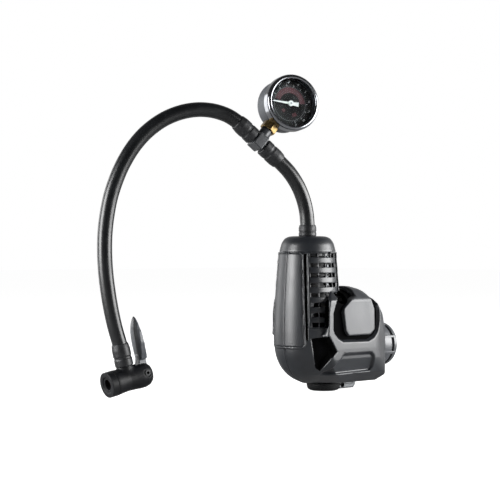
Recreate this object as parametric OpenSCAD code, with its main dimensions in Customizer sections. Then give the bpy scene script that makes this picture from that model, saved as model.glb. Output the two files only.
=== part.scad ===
// Right-angle tire inflator head. A tall compressor tower stands on a gearbox that is
// driven through a round coupling. Air leaves the tower's cap through a hose with a
// pressure gauge, and reaches the tyre at a lever-lock valve chuck.
// Millimetres. +X runs out of the coupling along the drive axis, +Z up the tower.
// The origin is the centre of the coupling's end face.

/* [Tower] */
// Largest outer radius of the tower
tower_r = 25.1; // [24.6:0.1:26]
// Outer radius of the tower just below the top cap
tower_top_r = 21.4; // [21.2:0.1:22.2]
// Height of the parting line between the housing and the top cap
tower_h = 106; // [105:0.5:110]
// Height at which the round bottom of the tower begins
bowl_z = 36; // [34:0.5:38]
// Depth of the round bottom
bowl_h = 29; // [27.5:0.5:29.5]
// Wall of the housing and of the cap
wall = 2.5; // [2:0.1:2.7]
// Height of the top cap
cap_h = 12; // [11.5:0.5:14]
// Radius of the flat on top of the cap
cap_flat_r = 14.5; // [13:0.5:16]
// How far the front panel stands proud of the tower
front_panel_proud = 0.7; // [0.4:0.1:1]
// Half of the angle that the front panel covers
front_panel_half = 31; // [26:1:34]

/* [Vents] */
// Rows of slots on each side
vent_rows = 8; // [5:1:8]
// Spacing of the rows
vent_pitch = 7.4; // [6.4:0.2:7.4]
// Height of one slot
slot_h = 3; // [2.2:0.2:3.4]
// Half of the angle that a vent panel covers
vent_half = 45; // [40:1:46]
// Angle between two upright bars
vent_bar_step = 23; // [20:1:24]
// Width of an upright bar
vent_bar_w = 1.4; // [1:0.2:2]
// Depth of the recess that the slots lie in
vent_recess = 1.1; // [0.6:0.1:1.3]

/* [Gearbox] */
// Width of the gearbox
gearbox_w = 60; // [59:0.5:64]
// Height of the top of the gearbox
gearbox_top = 80; // [79.5:0.5:83]
// Underside of the gearbox above the lowest point of the foot
gearbox_bottom = 6; // [5:0.5:6.5]
// Length of the gearbox behind the tower's axis
gearbox_l = 71; // [70:0.5:74]
// Depth of the channel that the saddle strap lies in
channel_d = 3.2; // [2.6:0.1:3.4]
// Depth of the trough along the lower side
trough_d = 2.2; // [1.4:0.1:2.6]
// How far the saddle strap stands proud of the gearbox
strap_proud = 0.6; // [0.2:0.1:1.2]
// Radius of the rubber foot
foot_r = 13; // [11:0.5:13]
// Width of the lock key
key_w = 8; // [6:0.5:9]
// Radius of the cross hole in the lock key
key_hole_r = 2; // [1.5:0.1:2.1]

/* [Coupling] */
// Radius of the coupling collar and of its flange
collar_r = 17; // [16.5:0.5:19]
// Length of the collar behind the gearbox
collar_l = 15; // [14:0.5:18]
// Thickness of the flange
flange_t = 3.5; // [3:0.5:4]
// Width of the groove before the flange
groove_w = 2.5; // [2:0.5:3]
// Radius of the opening in the collar
collar_bore_r = 13; // [12.9:0.1:13.5]
// Height of the drive axis above the lowest point of the foot
drive_z = 33; // [32.5:0.5:34]

/* [Drive train] */
// Gear module
gear_m = 1; // [0.96:0.01:1.02]
// Teeth of the pinion on the input shaft
pinion_teeth = 12; // [12:1:12]
// Teeth of the crank gear
gear_teeth = 32; // [32:1:32]
// Face width of the crank gear
gear_face = 8; // [6:0.5:9]
// Radius of the input shaft and of the crank shaft
shaft_r = 4; // [3.5:0.1:4]
// Outer radius of the large ball bearings
bearing_r = 11; // [10.5:0.5:11]
// Width of the large ball bearings
bearing_w = 7; // [6:0.5:7]
// Outer radius of the small ball bearing
small_bearing_r = 8; // [7.5:0.5:8]
// Width of the small ball bearing
small_bearing_w = 5; // [4:0.5:5]
// Running clearance of a shaft in a bearing
run_fit = 0.03; // [0.02:0.01:0.08]

/* [Compressor] */
// Radius of the cylinder bore
bore_r = 10.5; // [10:0.1:10.6]
// Radius of the crank pin's circle, half of the stroke
crank_throw = 7; // [6.5:0.1:7.2]
// Distance from the crank pin to the crown of the rod
rod_l = 36; // [34:0.5:37]
// Cooling fins on the cylinder
fin_count = 6; // [4:1:7]
// Radius of the cooling fins
fin_r = 16.8; // [16.6:0.1:17]
// Radial clearance of the cup seal in the bore
seal_gap = 0.08; // [0.03:0.01:0.1]

/* [Hose] */
// Outer diameter of the hose
hose_d = 11; // [10.6:0.1:11.1]
// Outer diameter of the crimped ferrules
ferrule_d = 13.4; // [13:0.1:14.4]
// Length of the hose inside a ferrule
hose_seat = 13; // [12:0.5:14]

/* [Gauge] */
// Diameter of the gauge over its bezel
gauge_d = 43; // [41:0.5:46]
// Depth of the gauge from back to front
gauge_depth = 25; // [24:0.5:28]
// Distance from the middle of the tee to the middle of the gauge
gauge_rise = 38.5; // [38:0.5:42]
// Width across flats of the brass socket
socket_af = 11; // [10:0.5:12]

/* [Chuck] */
// Radius of the chuck body at its ends
chuck_r = 9.35; // [9.2:0.05:10]
// Radius of the valve port
port_r = 3.95; // [3.9:0.05:4.1]
// Travel of the plunger over the lever's swing
plunger_travel = 2; // [1.5:0.1:2.2]
// Radius of the hollow pin that the lever turns on
lever_pin_r = 2.1; // [1.8:0.1:2.2]
// Width of the lever's blade
lever_w = 13; // [11:0.5:14]
// Height of the lever's tip above the chuck's axis
lever_top = 43; // [38:0.5:46]

/* [Hidden] */

$fn = 64;
past = 20;

// Housing. Everything below is measured from the tower's axis and the foot's lowest point.
flange_x = gearbox_l + collar_l;
waist_z = bowl_z + 10;
panel_top = tower_h - 0.8;
core_inset = channel_d;
cavity_inset = channel_d + wall - 0.3;
half_w = gearbox_w / 2;
slot_top_z = tower_h - slot_h / 2 - 1;
spigot_r = tower_top_r - wall - 0.1;
spigot_h = 3;
foot_x = 18;
foot_spigot_r = 5;
key_front = foot_x + foot_r + 0.4;
key_l = 19.6;
key_stem_x = key_front + 7.4;
key_stem_l = 10;
key_stem_h = 6;
key_pin_x = key_stem_x + key_stem_l / 2;
key_pin_z = gearbox_bottom + 3.6;
key_pin_r = 1.5;
key_boss_half = key_w / 2 + 4;
screw_r = 1.45;
screw_head_r = 2.7;
screw_head_h = 2;
screw_boss_r = 4.4;
// Clamp screws of the two halves: x, z and the height of the head's seat over the seam
screw_at = [
    [58, 57, half_w - 8.5],
    [56, 13, half_w - 10],
    [10, 13, half_w - 10],
    [-14, 30, half_w - 15]
];

// Drive train
gear_distance = gear_m * (pinion_teeth + gear_teeth) / 2;
crank_z = drive_z + gear_distance;
pressure_angle = 20;
addendum = 0.8;
dedendum = 1.15;
flank_gap = 0.07;
web_x = 5;
web_t = 7;
web_r = 14;
crank_pin_r = 2;
rod_half = 3;
open_pivot_gap = 0.3;
plate_x = web_x + web_t + 2.5;
front_bearing_x = plate_x + 0.5;
small_bearing_x = front_bearing_x + bearing_w + 0.2;
plate_t = bearing_w + small_bearing_w + 1;
gear_x = 31;
rear_plate_x = gear_x + gear_face + 2;
rear_plate_t = small_bearing_w + 1;
shoulder_r = 5.5;
pinion_x = gear_x - 1;
pinion_l = gear_face + 2;
input_bearing_x = gearbox_l - 11;
dog_x = gearbox_l + 3.3;
dog_len = 5.7;
shaft_rear_x = dog_x + 2.7;
boss_r = bearing_r + 3;
collar_floor = 3;
collar_hole_r = 8.5;
collar_screw_pcd_r = 10.9;

// Compressor
head_plate_t = 4;
head_plate_z = crank_z + web_r + 1.5;
cylinder_z = head_plate_z + head_plate_t;
cylinder_top = tower_h - 1.2;
gasket_t = 0.5;
head_z = cylinder_top + gasket_t;
head_t = 4.5;
barrel_r = bore_r + 1.7;
stud_offset = 10.2;
stud_r = 1.5;
bdc_z = crank_z - crank_throw;
crown_t = 2.5;
seal_z = bdc_z + rod_l;
valve_z = head_z + 1;
valve_t = 0.8;
valve_r = 4;
chamber_r = 4.6;
spring_z = valve_z + valve_t + 0.05;
spring_h = 5;
spring_wire = 0.5;
spring_r = 3;
spring_turns = 4.5;
head_top = spring_z + spring_h + 2.1;
nipple_r = 3;
nipple_bore_r = 1.5;
cap_top = tower_h + cap_h;
base_seat = cap_top + 0.5;
base_ferrule_l = 8.5;

// Hose. The routes lie in one upright plane: [distance from the tower's axis, height].
hose_plane = 155;
hose_r = hose_d / 2;
hose_sides = 12;
socket_r = hose_r / cos(180 / hose_sides) + 0.05;
rise = cap_top - 118;
lower_route = [
    [0, 118.5], [0, 122], [0, 125.5], [1, 136.4], [3.8, 147], [8.4, 157], [14.7, 166],
    [21.7, 173], [27.4, 178], [33.1, 182.9]
];
upper_route = [
    [46.7, 194.7], [51.6, 199], [56.5, 203.2], [62.5, 206.9], [69, 209.4], [77, 211.1],
    [86, 211.5], [95, 210.4], [104, 207.9], [113, 203.9], [121.5, 198.4], [130, 191],
    [138, 181.3], [145, 169.7], [150, 158.5], [154, 146.5], [156.6, 134], [158.2, 121],
    [158.6, 108], [158, 94], [156.4, 80], [154.1, 66], [151, 52], [147.3, 39.3],
    [145.9, 33], [144.5, 26.6]
];
tee_at = [39.9, 188.8];
tee_angle = 41;
tee_half = 4.1;
ferrule_floor = 9;
ferrule_mouth = ferrule_floor + hose_seat;

// Gauge, in the tee's frame: +Z runs up the stem, +Y out of the dial.
gauge_roll = 7;
gauge_r = gauge_d / 2;
case_r = gauge_r - 1.5;
case_wall = 1;
gauge_back = -gauge_depth / 2;
gauge_front = gauge_depth / 2;
dial_y = gauge_back + 16.5;
dial_t = 0.5;
lens_y = gauge_front - 2.9;
lens_t = 1.4;
pointer_y = dial_y + 2;
zero_angle = 124;
stem_hex_z = 11.5;
stem_hex_l = 5.3;
socket_neck_r = 3.4;

// Chuck: +X runs out of the valve port, +Z up the hose, the origin lies on both axes.
chuck_lean = 12.4;
chuck_turn = 15;
neck_h = 10;
chuck_ferrule_l = hose_seat + 3.5;
chuck_rear = -19.5;
chuck_mouth = 17.5;
nut_x = 12.4;
seal_t = 2.2;
seal_grip = 0.25;
lever_x = -13;
lever_z = 1.5;
cam_r = 6;
cam_gap = 0.3;
root_half = 3;
slot_half = root_half + 0.3;
plunger_rear = lever_x + cam_r + cam_gap;
plunger_rod_r = 3.2;
plunger_head_r = 6.2;
plunger_head_x = 6;
skirt_r = plunger_head_r + 1.8;

// ---------------------------------------------------------------- helpers

module place() {
    translate([-flange_x, 0, -drive_z]) children();
}

// A round bar along X, centred on y and z
module bar_x(x0, x1, r, y = 0, z = 0) {
    translate([x0, y, z]) rotate([0, 90, 0]) cylinder(h = x1 - x0, r = r);
}

// A round bar along Y, centred on x and z
module bar_y(y0, y1, r, x = 0, z = 0) {
    translate([x, y0, z]) rotate([-90, 0, 0]) cylinder(h = y1 - y0, r = r);
}

// An outline drawn in Y and Z, carried along X
module along_x(x0, x1) {
    translate([x0, 0, 0]) rotate([90, 0, 90]) linear_extrude(x1 - x0) children();
}

// An outline drawn in X and Z, carried along Y
module along_y(y0, y1) {
    translate([0, y1, 0]) rotate([90, 0, 0]) linear_extrude(y1 - y0) children();
}

// Corners of an outline rounded to radius r
module rounded(r) {
    offset(r = r, $fn = 24) offset(delta = -r) children();
}

module in_hose_plane() {
    translate([0, 0, rise]) rotate([0, 0, hose_plane]) children();
}

module at_tee() {
    place() in_hose_plane() translate([tee_at[0], 0, tee_at[1]]) rotate([0, -tee_angle, 0]) children();
}

module at_gauge() {
    at_tee() rotate([gauge_roll, 0, 0]) children();
}

// The chuck's origin lies below the end of the hose, on the ferrule's axis.
module at_neck() {
    end = upper_route[len(upper_route) - 1];
    place() in_hose_plane() translate([end[0], 0, end[1]]) rotate([0, chuck_lean, 0])
        translate([0, 0, -neck_h - 3.5]) children();
}

module at_chuck() {
    at_neck() rotate([0, 0, chuck_turn]) children();
}

// Ring of points round a route point, square to the route there
function route_direction(route, i) =
    let (a = route[max(i - 1, 0)], b = route[min(i + 1, len(route) - 1)],
        d = b - a) d / norm(d);
function ring(route, i, r, sides) =
    let (p = route[i], d = route_direction(route, i), n = [-d[1], d[0]])
    [for (k = [0 : sides - 1]) let (a = 360 * (k + 0.5) / sides)
        [p[0] + n[0] * r * cos(a), r * sin(a), p[1] + n[1] * r * cos(a)]];

// Closed tube along a route that lies in the hose's plane
module tube(route, r, sides) {
    count = len(route);
    points = [for (i = [0 : count - 1]) each ring(route, i, r, sides)];
    walls = [for (i = [0 : count - 2], k = [0 : sides - 1])
        let (a = i * sides + k, b = i * sides + (k + 1) % sides)
        each [[a, b, b + sides], [a, b + sides, a + sides]]];
    start = [for (k = [1 : sides - 2]) [0, k + 1, k]];
    first = (count - 1) * sides;
    finish = [for (k = [1 : sides - 2]) [first, first + k, first + k + 1]];
    polyhedron(points = points, faces = concat(walls, start, finish));
}

// ---------------------------------------------------------------- housing

// Outer radius of the tower at a height above the round bottom
function tower_radius(z) =
    z <= waist_z ? tower_r
        : tower_r - (tower_r - tower_top_r) * pow((z - waist_z) / (tower_h - waist_z), 1.4);

function tower_profile(inset, top) = concat(
    [for (a = [0 : 9 : 81]) [(tower_r - inset) * sin(a), bowl_z - (bowl_h - inset) * cos(a)]],
    [[tower_r - inset, bowl_z]],
    [for (i = [0 : 6]) let (z = waist_z + (tower_h - waist_z) * i / 6)
        [tower_radius(z) - inset, z]],
    [[tower_top_r - inset, top], [0, top]]
);

module tower_solid(inset = 0, top = tower_h) {
    rotate_extrude() polygon(tower_profile(inset, top));
}

// A band of the tower's wall between two radii, over an angle
module tower_band(z0, z1, inner, outer, from, angle) {
    steps = 6;
    levels = [for (i = [0 : steps]) z0 + (z1 - z0) * i / steps];
    rotate([0, 0, from]) rotate_extrude(angle = angle) polygon(concat(
        [for (z = levels) [tower_radius(z) + outer, z]],
        [for (i = [steps : -1 : 0]) [tower_radius(levels[i]) - inner, levels[i]]]
    ));
}

// One side's slots: rows between the upright bars, cut right through the wall
module vent_slots(side) {
    bar_half = asin(vent_bar_w / 2 / tower_r);
    edge = vent_half - 2;
    columns = [
        [-edge, -vent_bar_step - bar_half], [-vent_bar_step + bar_half, -bar_half],
        [bar_half, vent_bar_step - bar_half], [vent_bar_step + bar_half, edge]
    ];
    for (row = [0 : vent_rows - 1], c = columns) {
        z = slot_top_z - row * vent_pitch;
        rotate([0, 0, side * 90 + c[0]]) rotate_extrude(angle = c[1] - c[0])
            translate([tower_r - 12, z - slot_h / 2]) square([14, slot_h]);
    }
}

module tower_outside() {
    vent_bottom = slot_top_z - (vent_rows - 1) * vent_pitch - slot_h;
    difference() {
        union() {
            tower_solid();
            tower_band(bowl_z, panel_top, 1, front_panel_proud, 180 - front_panel_half,
                2 * front_panel_half);
        }
        for (side = [-1, 1]) {
            tower_band(vent_bottom, tower_h - 0.6, vent_recess, 3, side * 90 - vent_half,
                2 * vent_half);
            vent_slots(side);
        }
    }
}

module gearbox_side_outline() {
    l = gearbox_l;
    top = gearbox_top;
    rounded(1.5) polygon([
        [-4, gearbox_bottom], [l - 13, gearbox_bottom], [l - 9, gearbox_bottom + 2.7],
        [l - 2, 14.3], [l, 16], [l, 50], [l - 2, 53], [l - 7.5, top - 15], [l - 14, top - 11],
        [l - 20, top - 8.5], [l - 28, top - 4], [l - 39, top], [4, top], [-6.4, top - 10.5],
        [-8, top - 22], [-8, 46.5], [-5, 41.5], [3.5, 30], [-12, 14]
    ]);
}

module gearbox_front_outline() {
    w = half_w;
    side = [[w - 12, gearbox_bottom], [w - 4, 14], [w - 0.5, 25], [w, 33],
        [w, gearbox_top - 10.5], [w - 8, gearbox_top - 3.2], [w - 16, gearbox_top]];
    rounded(4) polygon(concat(side, [for (i = [len(side) - 1 : -1 : 0]) [-side[i][0], side[i][1]]]));
}

module gearbox_plan_outline() {
    l = gearbox_l;
    w = half_w;
    side = [[-12, w - 6], [-8, w], [l - 26, w], [l - 11, w - 4], [l, w - 10]];
    rounded(4) polygon(concat(side, [for (i = [len(side) - 1 : -1 : 0]) [side[i][0], -side[i][1]]]));
}

// What is cut from the two lower front corners, across the corner by height: the rest stays
// within the tower's round bottom as it is seen at 45 degrees
module corner_outline() {
    g = gearbox_bottom;
    polygon([[-60, -8], [-2, -8], [-2, g - 0.5], [-10.5, g + 4.6], [-15.8, g + 8.2], [-19.3, g + 12.3],
        [-21.8, g + 16.2], [-23.9, g + 22.3], [-25.2, g + 30.6], [-60, g + 30.6]]);
}

// What is cut from the two rear corners, which slope from the hump down to the coupling
module rear_outline() {
    t = gearbox_top;
    l = gearbox_l;
    polygon([[l - 40.5, t + 15], [l - 40.5, t + 0.5], [l - 32.1, t - 2.1], [l - 24.1, t - 7.7],
        [l - 19.9, t - 10.3], [l - 16, t - 14.1], [l - 12.1, t - 21.8], [l - 10.5, t - 30],
        [l - 9.4, t - 40], [l - 9.2, -8], [l + 24, -8], [l + 24, t + 15]]);
}

// The gearbox is what three outlines have in common. A negative inset makes it larger.
module gearbox_solid(inset = 0) {
    difference() {
        intersection() {
            along_y(-half_w - past, half_w + past) offset(delta = -inset) gearbox_side_outline();
            along_x(-past, gearbox_l + past) offset(delta = -inset) gearbox_front_outline();
            linear_extrude(gearbox_top + past) offset(delta = -inset) gearbox_plan_outline();
        }
        for (side = [-1, 1]) {
            rotate([0, 0, side * 45]) along_y(-100, 100) offset(delta = inset) {
                corner_outline();
                rear_outline();
            }
        }
    }
}

module channel_outline() {
    t = gearbox_top;
    polygon([[-4, 48], [-2.5, 44.5], [2.5, 40.5], [8, 38], [37, 37.5], [43.5, 40], [49, 44.5], [51.5, 52],
        [51.5, t - 18], [48, t - 10], [45, t + 5], [14, t + 5], [13.8, t - 1], [7.5, t - 5],
        [0.5, t - 10.5], [-4, t - 20]]);
}

module trough_outline() {
    polygon([[8, 20], [13, 14], [45, 14], [50, 18.5], [50, 27.5], [8, 27.5]]);
}

module strap_outline() {
    t = gearbox_top;
    polygon([[14, 43], [38.5, 43], [43.5, 46.5], [43.5, t - 18], [40, t - 10.5], [42, t + 5],
        [30, t + 5], [24, t - 7.5], [16.5, t - 9.5], [9.5, t - 11], [8.3, t - 18], [10.6, 47]]);
}

module gearbox_outside() {
    gearbox_solid(core_inset);
    difference() {
        gearbox_solid();
        along_y(-half_w - past, half_w + past) channel_outline();
    }
}

module housing_outside() {
    difference() {
        union() {
            tower_outside();
            gearbox_outside();
        }
        intersection() {
            difference() {
                gearbox_solid(-past / 4);
                gearbox_solid(trough_d);
            }
            along_y(-half_w - past, half_w + past) trough_outline();
        }
    }
}

module housing_bosses() {
    bar_x(input_bearing_x - 2, gearbox_l - 1, boss_r, 0, drive_z);
    intersection() {
        union() {
            tower_solid();
            gearbox_solid(core_inset);
        }
        for (s = screw_at) {
            bar_y(-s[2] - 3, s[2] + 3, screw_boss_r, s[0], s[1]);
        }
    }
    translate([key_stem_x - 2.5, -key_boss_half, gearbox_bottom + 1])
        cube([key_stem_l + 5, 2 * key_boss_half, key_stem_h + 2]);
}

module housing_bores() {
    bar_x(input_bearing_x, input_bearing_x + bearing_w, bearing_r, 0, drive_z);
    bar_x(input_bearing_x - past, gearbox_l + past, collar_hole_r, 0, drive_z);
    for (a = [45 : 90 : 315]) {
        bar_x(gearbox_l - 3.6, gearbox_l + past, 1.1, collar_screw_pcd_r * cos(a),
            drive_z + collar_screw_pcd_r * sin(a));
    }
    translate([key_stem_x, -key_w / 2 - 0.05, 0])
        cube([key_stem_l, key_w + 0.1, gearbox_bottom + key_stem_h + 0.2]);
    bar_y(-key_boss_half + 1, key_boss_half - 1, key_pin_r, key_pin_x, key_pin_z);
    translate([foot_x, 0, 0]) cylinder(h = gearbox_bottom + 3.7, r = foot_spigot_r + 0.05);
    for (s = screw_at) {
        bar_y(-s[2] + 4, s[2], screw_r, s[0], s[1]);
        bar_y(s[2], s[2] + past, screw_head_r + 0.3, s[0], s[1]);
    }
}

module housing() {
    difference() {
        union() {
            difference() {
                housing_outside();
                tower_solid(wall, tower_h + 1);
                gearbox_solid(cavity_inset);
            }
            housing_bosses();
        }
        housing_bores();
    }
}

module half_space(side) {
    y = side > 0 ? 0 : -100;
    translate([-60, y, -10]) cube([200, 100, 200]);
}

module housing_left() {
    color("#33363a") place() intersection() {
        housing();
        half_space(-1);
    }
}

module housing_right() {
    color("#33363a") place() intersection() {
        housing();
        half_space(1);
    }
}

module housing_screws() {
    color("#55585c") place() for (s = screw_at) {
        bar_y(-s[2] + 4.5, s[2], screw_r, s[0], s[1]);
        bar_y(s[2], s[2] + screw_head_h, screw_head_r, s[0], s[1]);
    }
}

module top_cap() {
    rim = tower_top_r - 0.4;
    shoulder = [cap_flat_r + 5.1, cap_h - 5.4];
    outer = [[tower_top_r, 0], [rim, 1], [shoulder[0], shoulder[1]], [cap_flat_r, cap_h]];
    color("#2f3236") place() translate([0, 0, tower_h]) rotate_extrude() polygon(concat(
        [[nipple_r + 0.2, cap_h]], [for (i = [3 : -1 : 0]) outer[i]],
        [[spigot_r, 0], [spigot_r, -spigot_h], [spigot_r - 1, -spigot_h], [spigot_r - 1, 1],
            [shoulder[0] - wall, shoulder[1]], [cap_flat_r - wall / 2, cap_h - wall],
            [nipple_r + 0.2, cap_h - wall]]
    ));
}

module saddle_strap() {
    color("#4a4d52") place() intersection() {
        difference() {
            gearbox_solid(-strap_proud);
            gearbox_solid(core_inset);
            tower_solid(-0.3);
        }
        along_y(-half_w - past, half_w + past) strap_outline();
    }
}

module coupling_collar() {
    groove_r = collar_r - 2.5;
    l = collar_l;
    color("#3c3f43") place() difference() {
        union() {
            bar_x(gearbox_l, flange_x, groove_r, 0, drive_z);
            bar_x(gearbox_l, gearbox_l + l - flange_t - groove_w, collar_r, 0, drive_z);
            bar_x(flange_x - flange_t, flange_x, collar_r, 0, drive_z);
            for (a = [22.5 : 45 : 360]) {
                translate([gearbox_l + 1, 0, drive_z]) rotate([a, 0, 0])
                    translate([0, -1, groove_r - 1]) cube([l - 2, 2, collar_r - groove_r + 0.7]);
            }
        }
        bar_x(gearbox_l + collar_floor, flange_x + past, collar_bore_r, 0, drive_z);
        bar_x(gearbox_l - past, flange_x, collar_hole_r, 0, drive_z);
        for (a = [45 : 90 : 315]) {
            bar_x(gearbox_l - past, flange_x, 1.1, collar_screw_pcd_r * cos(a),
                drive_z + collar_screw_pcd_r * sin(a));
        }
    }
}

module collar_screws() {
    seat = gearbox_l + collar_floor;
    color("silver") place() for (a = [45 : 90 : 315]) {
        y = collar_screw_pcd_r * cos(a);
        z = drive_z + collar_screw_pcd_r * sin(a);
        bar_x(gearbox_l - 3.4, seat, 1.1, y, z);
        difference() {
            bar_x(seat, seat + 1.2, 1.9, y, z);
            translate([seat + 0.6, y - 1.4, z - 0.25]) cube([1, 2.8, 0.5]);
        }
    }
}

module foot_cup() {
    g = gearbox_bottom;
    color("#16181a") place() translate([foot_x, 0, 0]) rotate_extrude() polygon([
        [0, 0], [foot_r - 3.5, 0], [foot_r - 1.6, 0.7], [foot_r - 0.5, 2.2], [foot_r, g - 2],
        [foot_r, g], [foot_spigot_r, g], [foot_spigot_r, g + 3.5], [0, g + 3.5]
    ]);
}

module lock_key() {
    low = 0.4;
    color("#a0a2a4") place() difference() {
        union() {
            along_y(-key_w / 2, key_w / 2) rounded(1) polygon([
                [key_front, low + 1.2], [key_front + 1.2, low], [key_front + key_l - 2.5, low],
                [key_front + key_l, low + 2.5], [key_front + key_l, gearbox_bottom],
                [key_front, gearbox_bottom]
            ]);
            translate([key_stem_x, -key_w / 2, gearbox_bottom - 1]) cube([key_stem_l, key_w, key_stem_h + 1]);
        }
        bar_y(-past, past, key_hole_r, key_front + 4, low + 2.8);
        bar_y(-past, past, key_pin_r, key_pin_x, key_pin_z);
    }
}

module lock_key_pin() {
    color("silver") place() bar_y(-key_boss_half + 1.2, key_boss_half - 1.2, key_pin_r, key_pin_x, key_pin_z);
}

// ---------------------------------------------------------------- frame and bearings

module post_circles(r) {
    for (side = [-1, 1]) {
        translate([side * 17.4, crank_z + 9.4]) circle(r);
        translate([side * 17, drive_z - 9]) circle(r);
    }
}

module plate_outline() {
    ear = half_w - cavity_inset - 0.3;
    hull() {
        translate([0, crank_z]) circle(bearing_r + 3.5);
        translate([0, drive_z]) circle(small_bearing_r + 3);
        post_circles(2.6);
    }
    translate([-ear, drive_z + 8]) square([2 * ear, 10]);
}

// Two bearing plates, the posts between them and the shelf that the cylinder stands on
module frame_solid() {
    along_x(plate_x, plate_x + plate_t) plate_outline();
    along_x(rear_plate_x, rear_plate_x + rear_plate_t) plate_outline();
    along_x(plate_x, rear_plate_x + 1) post_circles(2.5);
    translate([0, 0, head_plate_z]) linear_extrude(head_plate_t) hull() {
        circle(15.5);
        translate([plate_x, -12]) square([plate_t - 8, 24]);
    }
    along_x(plate_x, plate_x + 5) translate([-12, crank_z + 10])
        square([24, head_plate_z - crank_z - 9]);
}

module gear_frame() {
    plate_end = plate_x + plate_t;
    color("#8d8f92") place() difference() {
        intersection() {
            frame_solid();
            union() {
                tower_solid(wall + 0.3);
                gearbox_solid(cavity_inset + 0.3);
            }
        }
        bar_x(plate_x - past, front_bearing_x + bearing_w, bearing_r, 0, crank_z);
        bar_x(plate_x - past, plate_end + 3, shoulder_r + 2.5, 0, crank_z);
        bar_x(small_bearing_x, plate_end + 3, small_bearing_r, 0, drive_z);
        bar_x(rear_plate_x + 1, rear_plate_x + past, small_bearing_r, 0, crank_z);
        bar_x(rear_plate_x - 1, rear_plate_x + past, shoulder_r + 0.5, 0, crank_z);
        bar_x(rear_plate_x - 1, rear_plate_x + past, shaft_r + 4, 0, drive_z);
        translate([0, 0, head_plate_z - 1]) cylinder(h = head_plate_t + 2, r = bore_r);
        for (x = [-1, 1], y = [-1, 1]) {
            translate([x * stud_offset, y * stud_offset, head_plate_z - 1])
                cylinder(h = head_plate_t + 2, r = stud_r);
        }
    }
}

// A sealed ball bearing along X: two rings and the shields between them as one ring
module ball_bearing(x, w, outer, inner, z) {
    shield = (outer - inner) * 0.3;
    color("#c4c6c8") place() difference() {
        bar_x(x, x + w, outer, 0, z);
        bar_x(x - 1, x + w + 1, inner + run_fit, 0, z);
        for (end = [x - 1, x + w - 0.4]) {
            difference() {
                bar_x(end, end + 1.4, outer - shield, 0, z);
                bar_x(end - 1, end + 2.4, inner + shield, 0, z);
            }
        }
    }
}

module shaft_bearing_rear() {
    ball_bearing(input_bearing_x, bearing_w, bearing_r, shaft_r, drive_z);
}

module shaft_bearing_front() {
    ball_bearing(small_bearing_x, small_bearing_w, small_bearing_r, shaft_r - 1.5, drive_z);
}

module crank_bearing_rear() {
    ball_bearing(rear_plate_x + 1, small_bearing_w, small_bearing_r, shaft_r, crank_z);
}

module crank_bearing_front() {
    ball_bearing(front_bearing_x, bearing_w, bearing_r, shaft_r, crank_z);
}

// ---------------------------------------------------------------- input shaft

module input_shaft() {
    neck = shaft_r - 1.5;
    seat = shaft_r - 1;
    color("#b6b8ba") place() {
        bar_x(small_bearing_x + 0.2, pinion_x - 2.2, neck, 0, drive_z);
        bar_x(pinion_x - 2.2, pinion_x + pinion_l, seat, 0, drive_z);
        bar_x(pinion_x + pinion_l, shaft_rear_x, shaft_r, 0, drive_z);
    }
}

// Distance along an involute flank, as the angle it falls back from the pitch point
function involute_turn(base, r) =
    let (a = acos(min(base / r, 1))) tan(a) * 180 / PI - a;

function tooth(teeth, middle) =
    let (pitch = gear_m * teeth / 2, base = pitch * cos(pressure_angle),
        tip = pitch + addendum * gear_m, root = pitch - dedendum * gear_m,
        half = 90 / teeth - flank_gap / pitch * 180 / PI + involute_turn(base, pitch),
        low = max(base, root),
        flank = [for (i = [0 : 3]) low + (tip - low) * i / 3])
    concat(
        [for (r = concat([root], flank)) let (a = middle - half + involute_turn(base, max(r, low)))
            r * [cos(a), sin(a)]],
        [for (i = [3 : -1 : 0]) let (a = middle + half - involute_turn(base, flank[i]))
            flank[i] * [cos(a), sin(a)]],
        [let (a = middle + half - involute_turn(base, low)) root * [cos(a), sin(a)]]
    );

module gear_outline(teeth, first) {
    polygon([for (i = [0 : teeth - 1]) each tooth(teeth, first + i * 360 / teeth)]);
}

module drive_pinion() {
    color("#9a9c9f") place() difference() {
        along_x(pinion_x, pinion_x + pinion_l) translate([0, drive_z])
            gear_outline(pinion_teeth, 90);
        bar_x(pinion_x - 1, pinion_x + pinion_l + 1, shaft_r - 1, 0, drive_z);
    }
}

module drive_dog() {
    jaw_r = 7.5;
    color("#8a8c90") place() translate([dog_x, 0, drive_z]) difference() {
        union() {
            bar_x(0, dog_len - 3, jaw_r);
            for (a = [0 : 120 : 240]) {
                rotate([a, 0, 0]) intersection() {
                    bar_x(dog_len - 4, dog_len, jaw_r - 0.4);
                    translate([0, -1.9, 2.4]) cube([dog_len, 3.8, jaw_r]);
                }
            }
        }
        bar_x(-1, shaft_rear_x - dog_x, shaft_r);
    }
}

// ---------------------------------------------------------------- crank

module drive_gear() {
    pitch = gear_m * gear_teeth / 2;
    color("#a7a29a") place() difference() {
        along_x(gear_x, gear_x + gear_face) translate([0, crank_z])
            gear_outline(gear_teeth, -90 + 180 / gear_teeth);
        bar_x(gear_x - 1, gear_x + gear_face + 1, shaft_r, 0, crank_z);
        for (side = [gear_x - 1, gear_x + gear_face - 2]) {
            difference() {
                bar_x(side, side + 3, pitch - 3, 0, crank_z);
                bar_x(side - 1, side + 4, shaft_r + 3, 0, crank_z);
            }
        }
        for (a = [0 : 60 : 300]) {
            bar_x(gear_x - 1, gear_x + gear_face + 1, 2.2, (pitch - 6) * cos(a),
                crank_z + (pitch - 6) * sin(a));
        }
    }
}

module crank_shaft() {
    color("#b6b8ba") place() {
        bar_x(web_x, gear_x + gear_face, shaft_r, 0, crank_z);
        bar_x(front_bearing_x + bearing_w + 0.3, gear_x, shoulder_r, 0, crank_z);
        bar_x(gear_x + gear_face, rear_plate_x + 0.8, shoulder_r, 0, crank_z);
        bar_x(rear_plate_x + 0.8, rear_plate_x + rear_plate_t + 0.5, shaft_r, 0, crank_z);
    }
}

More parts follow.
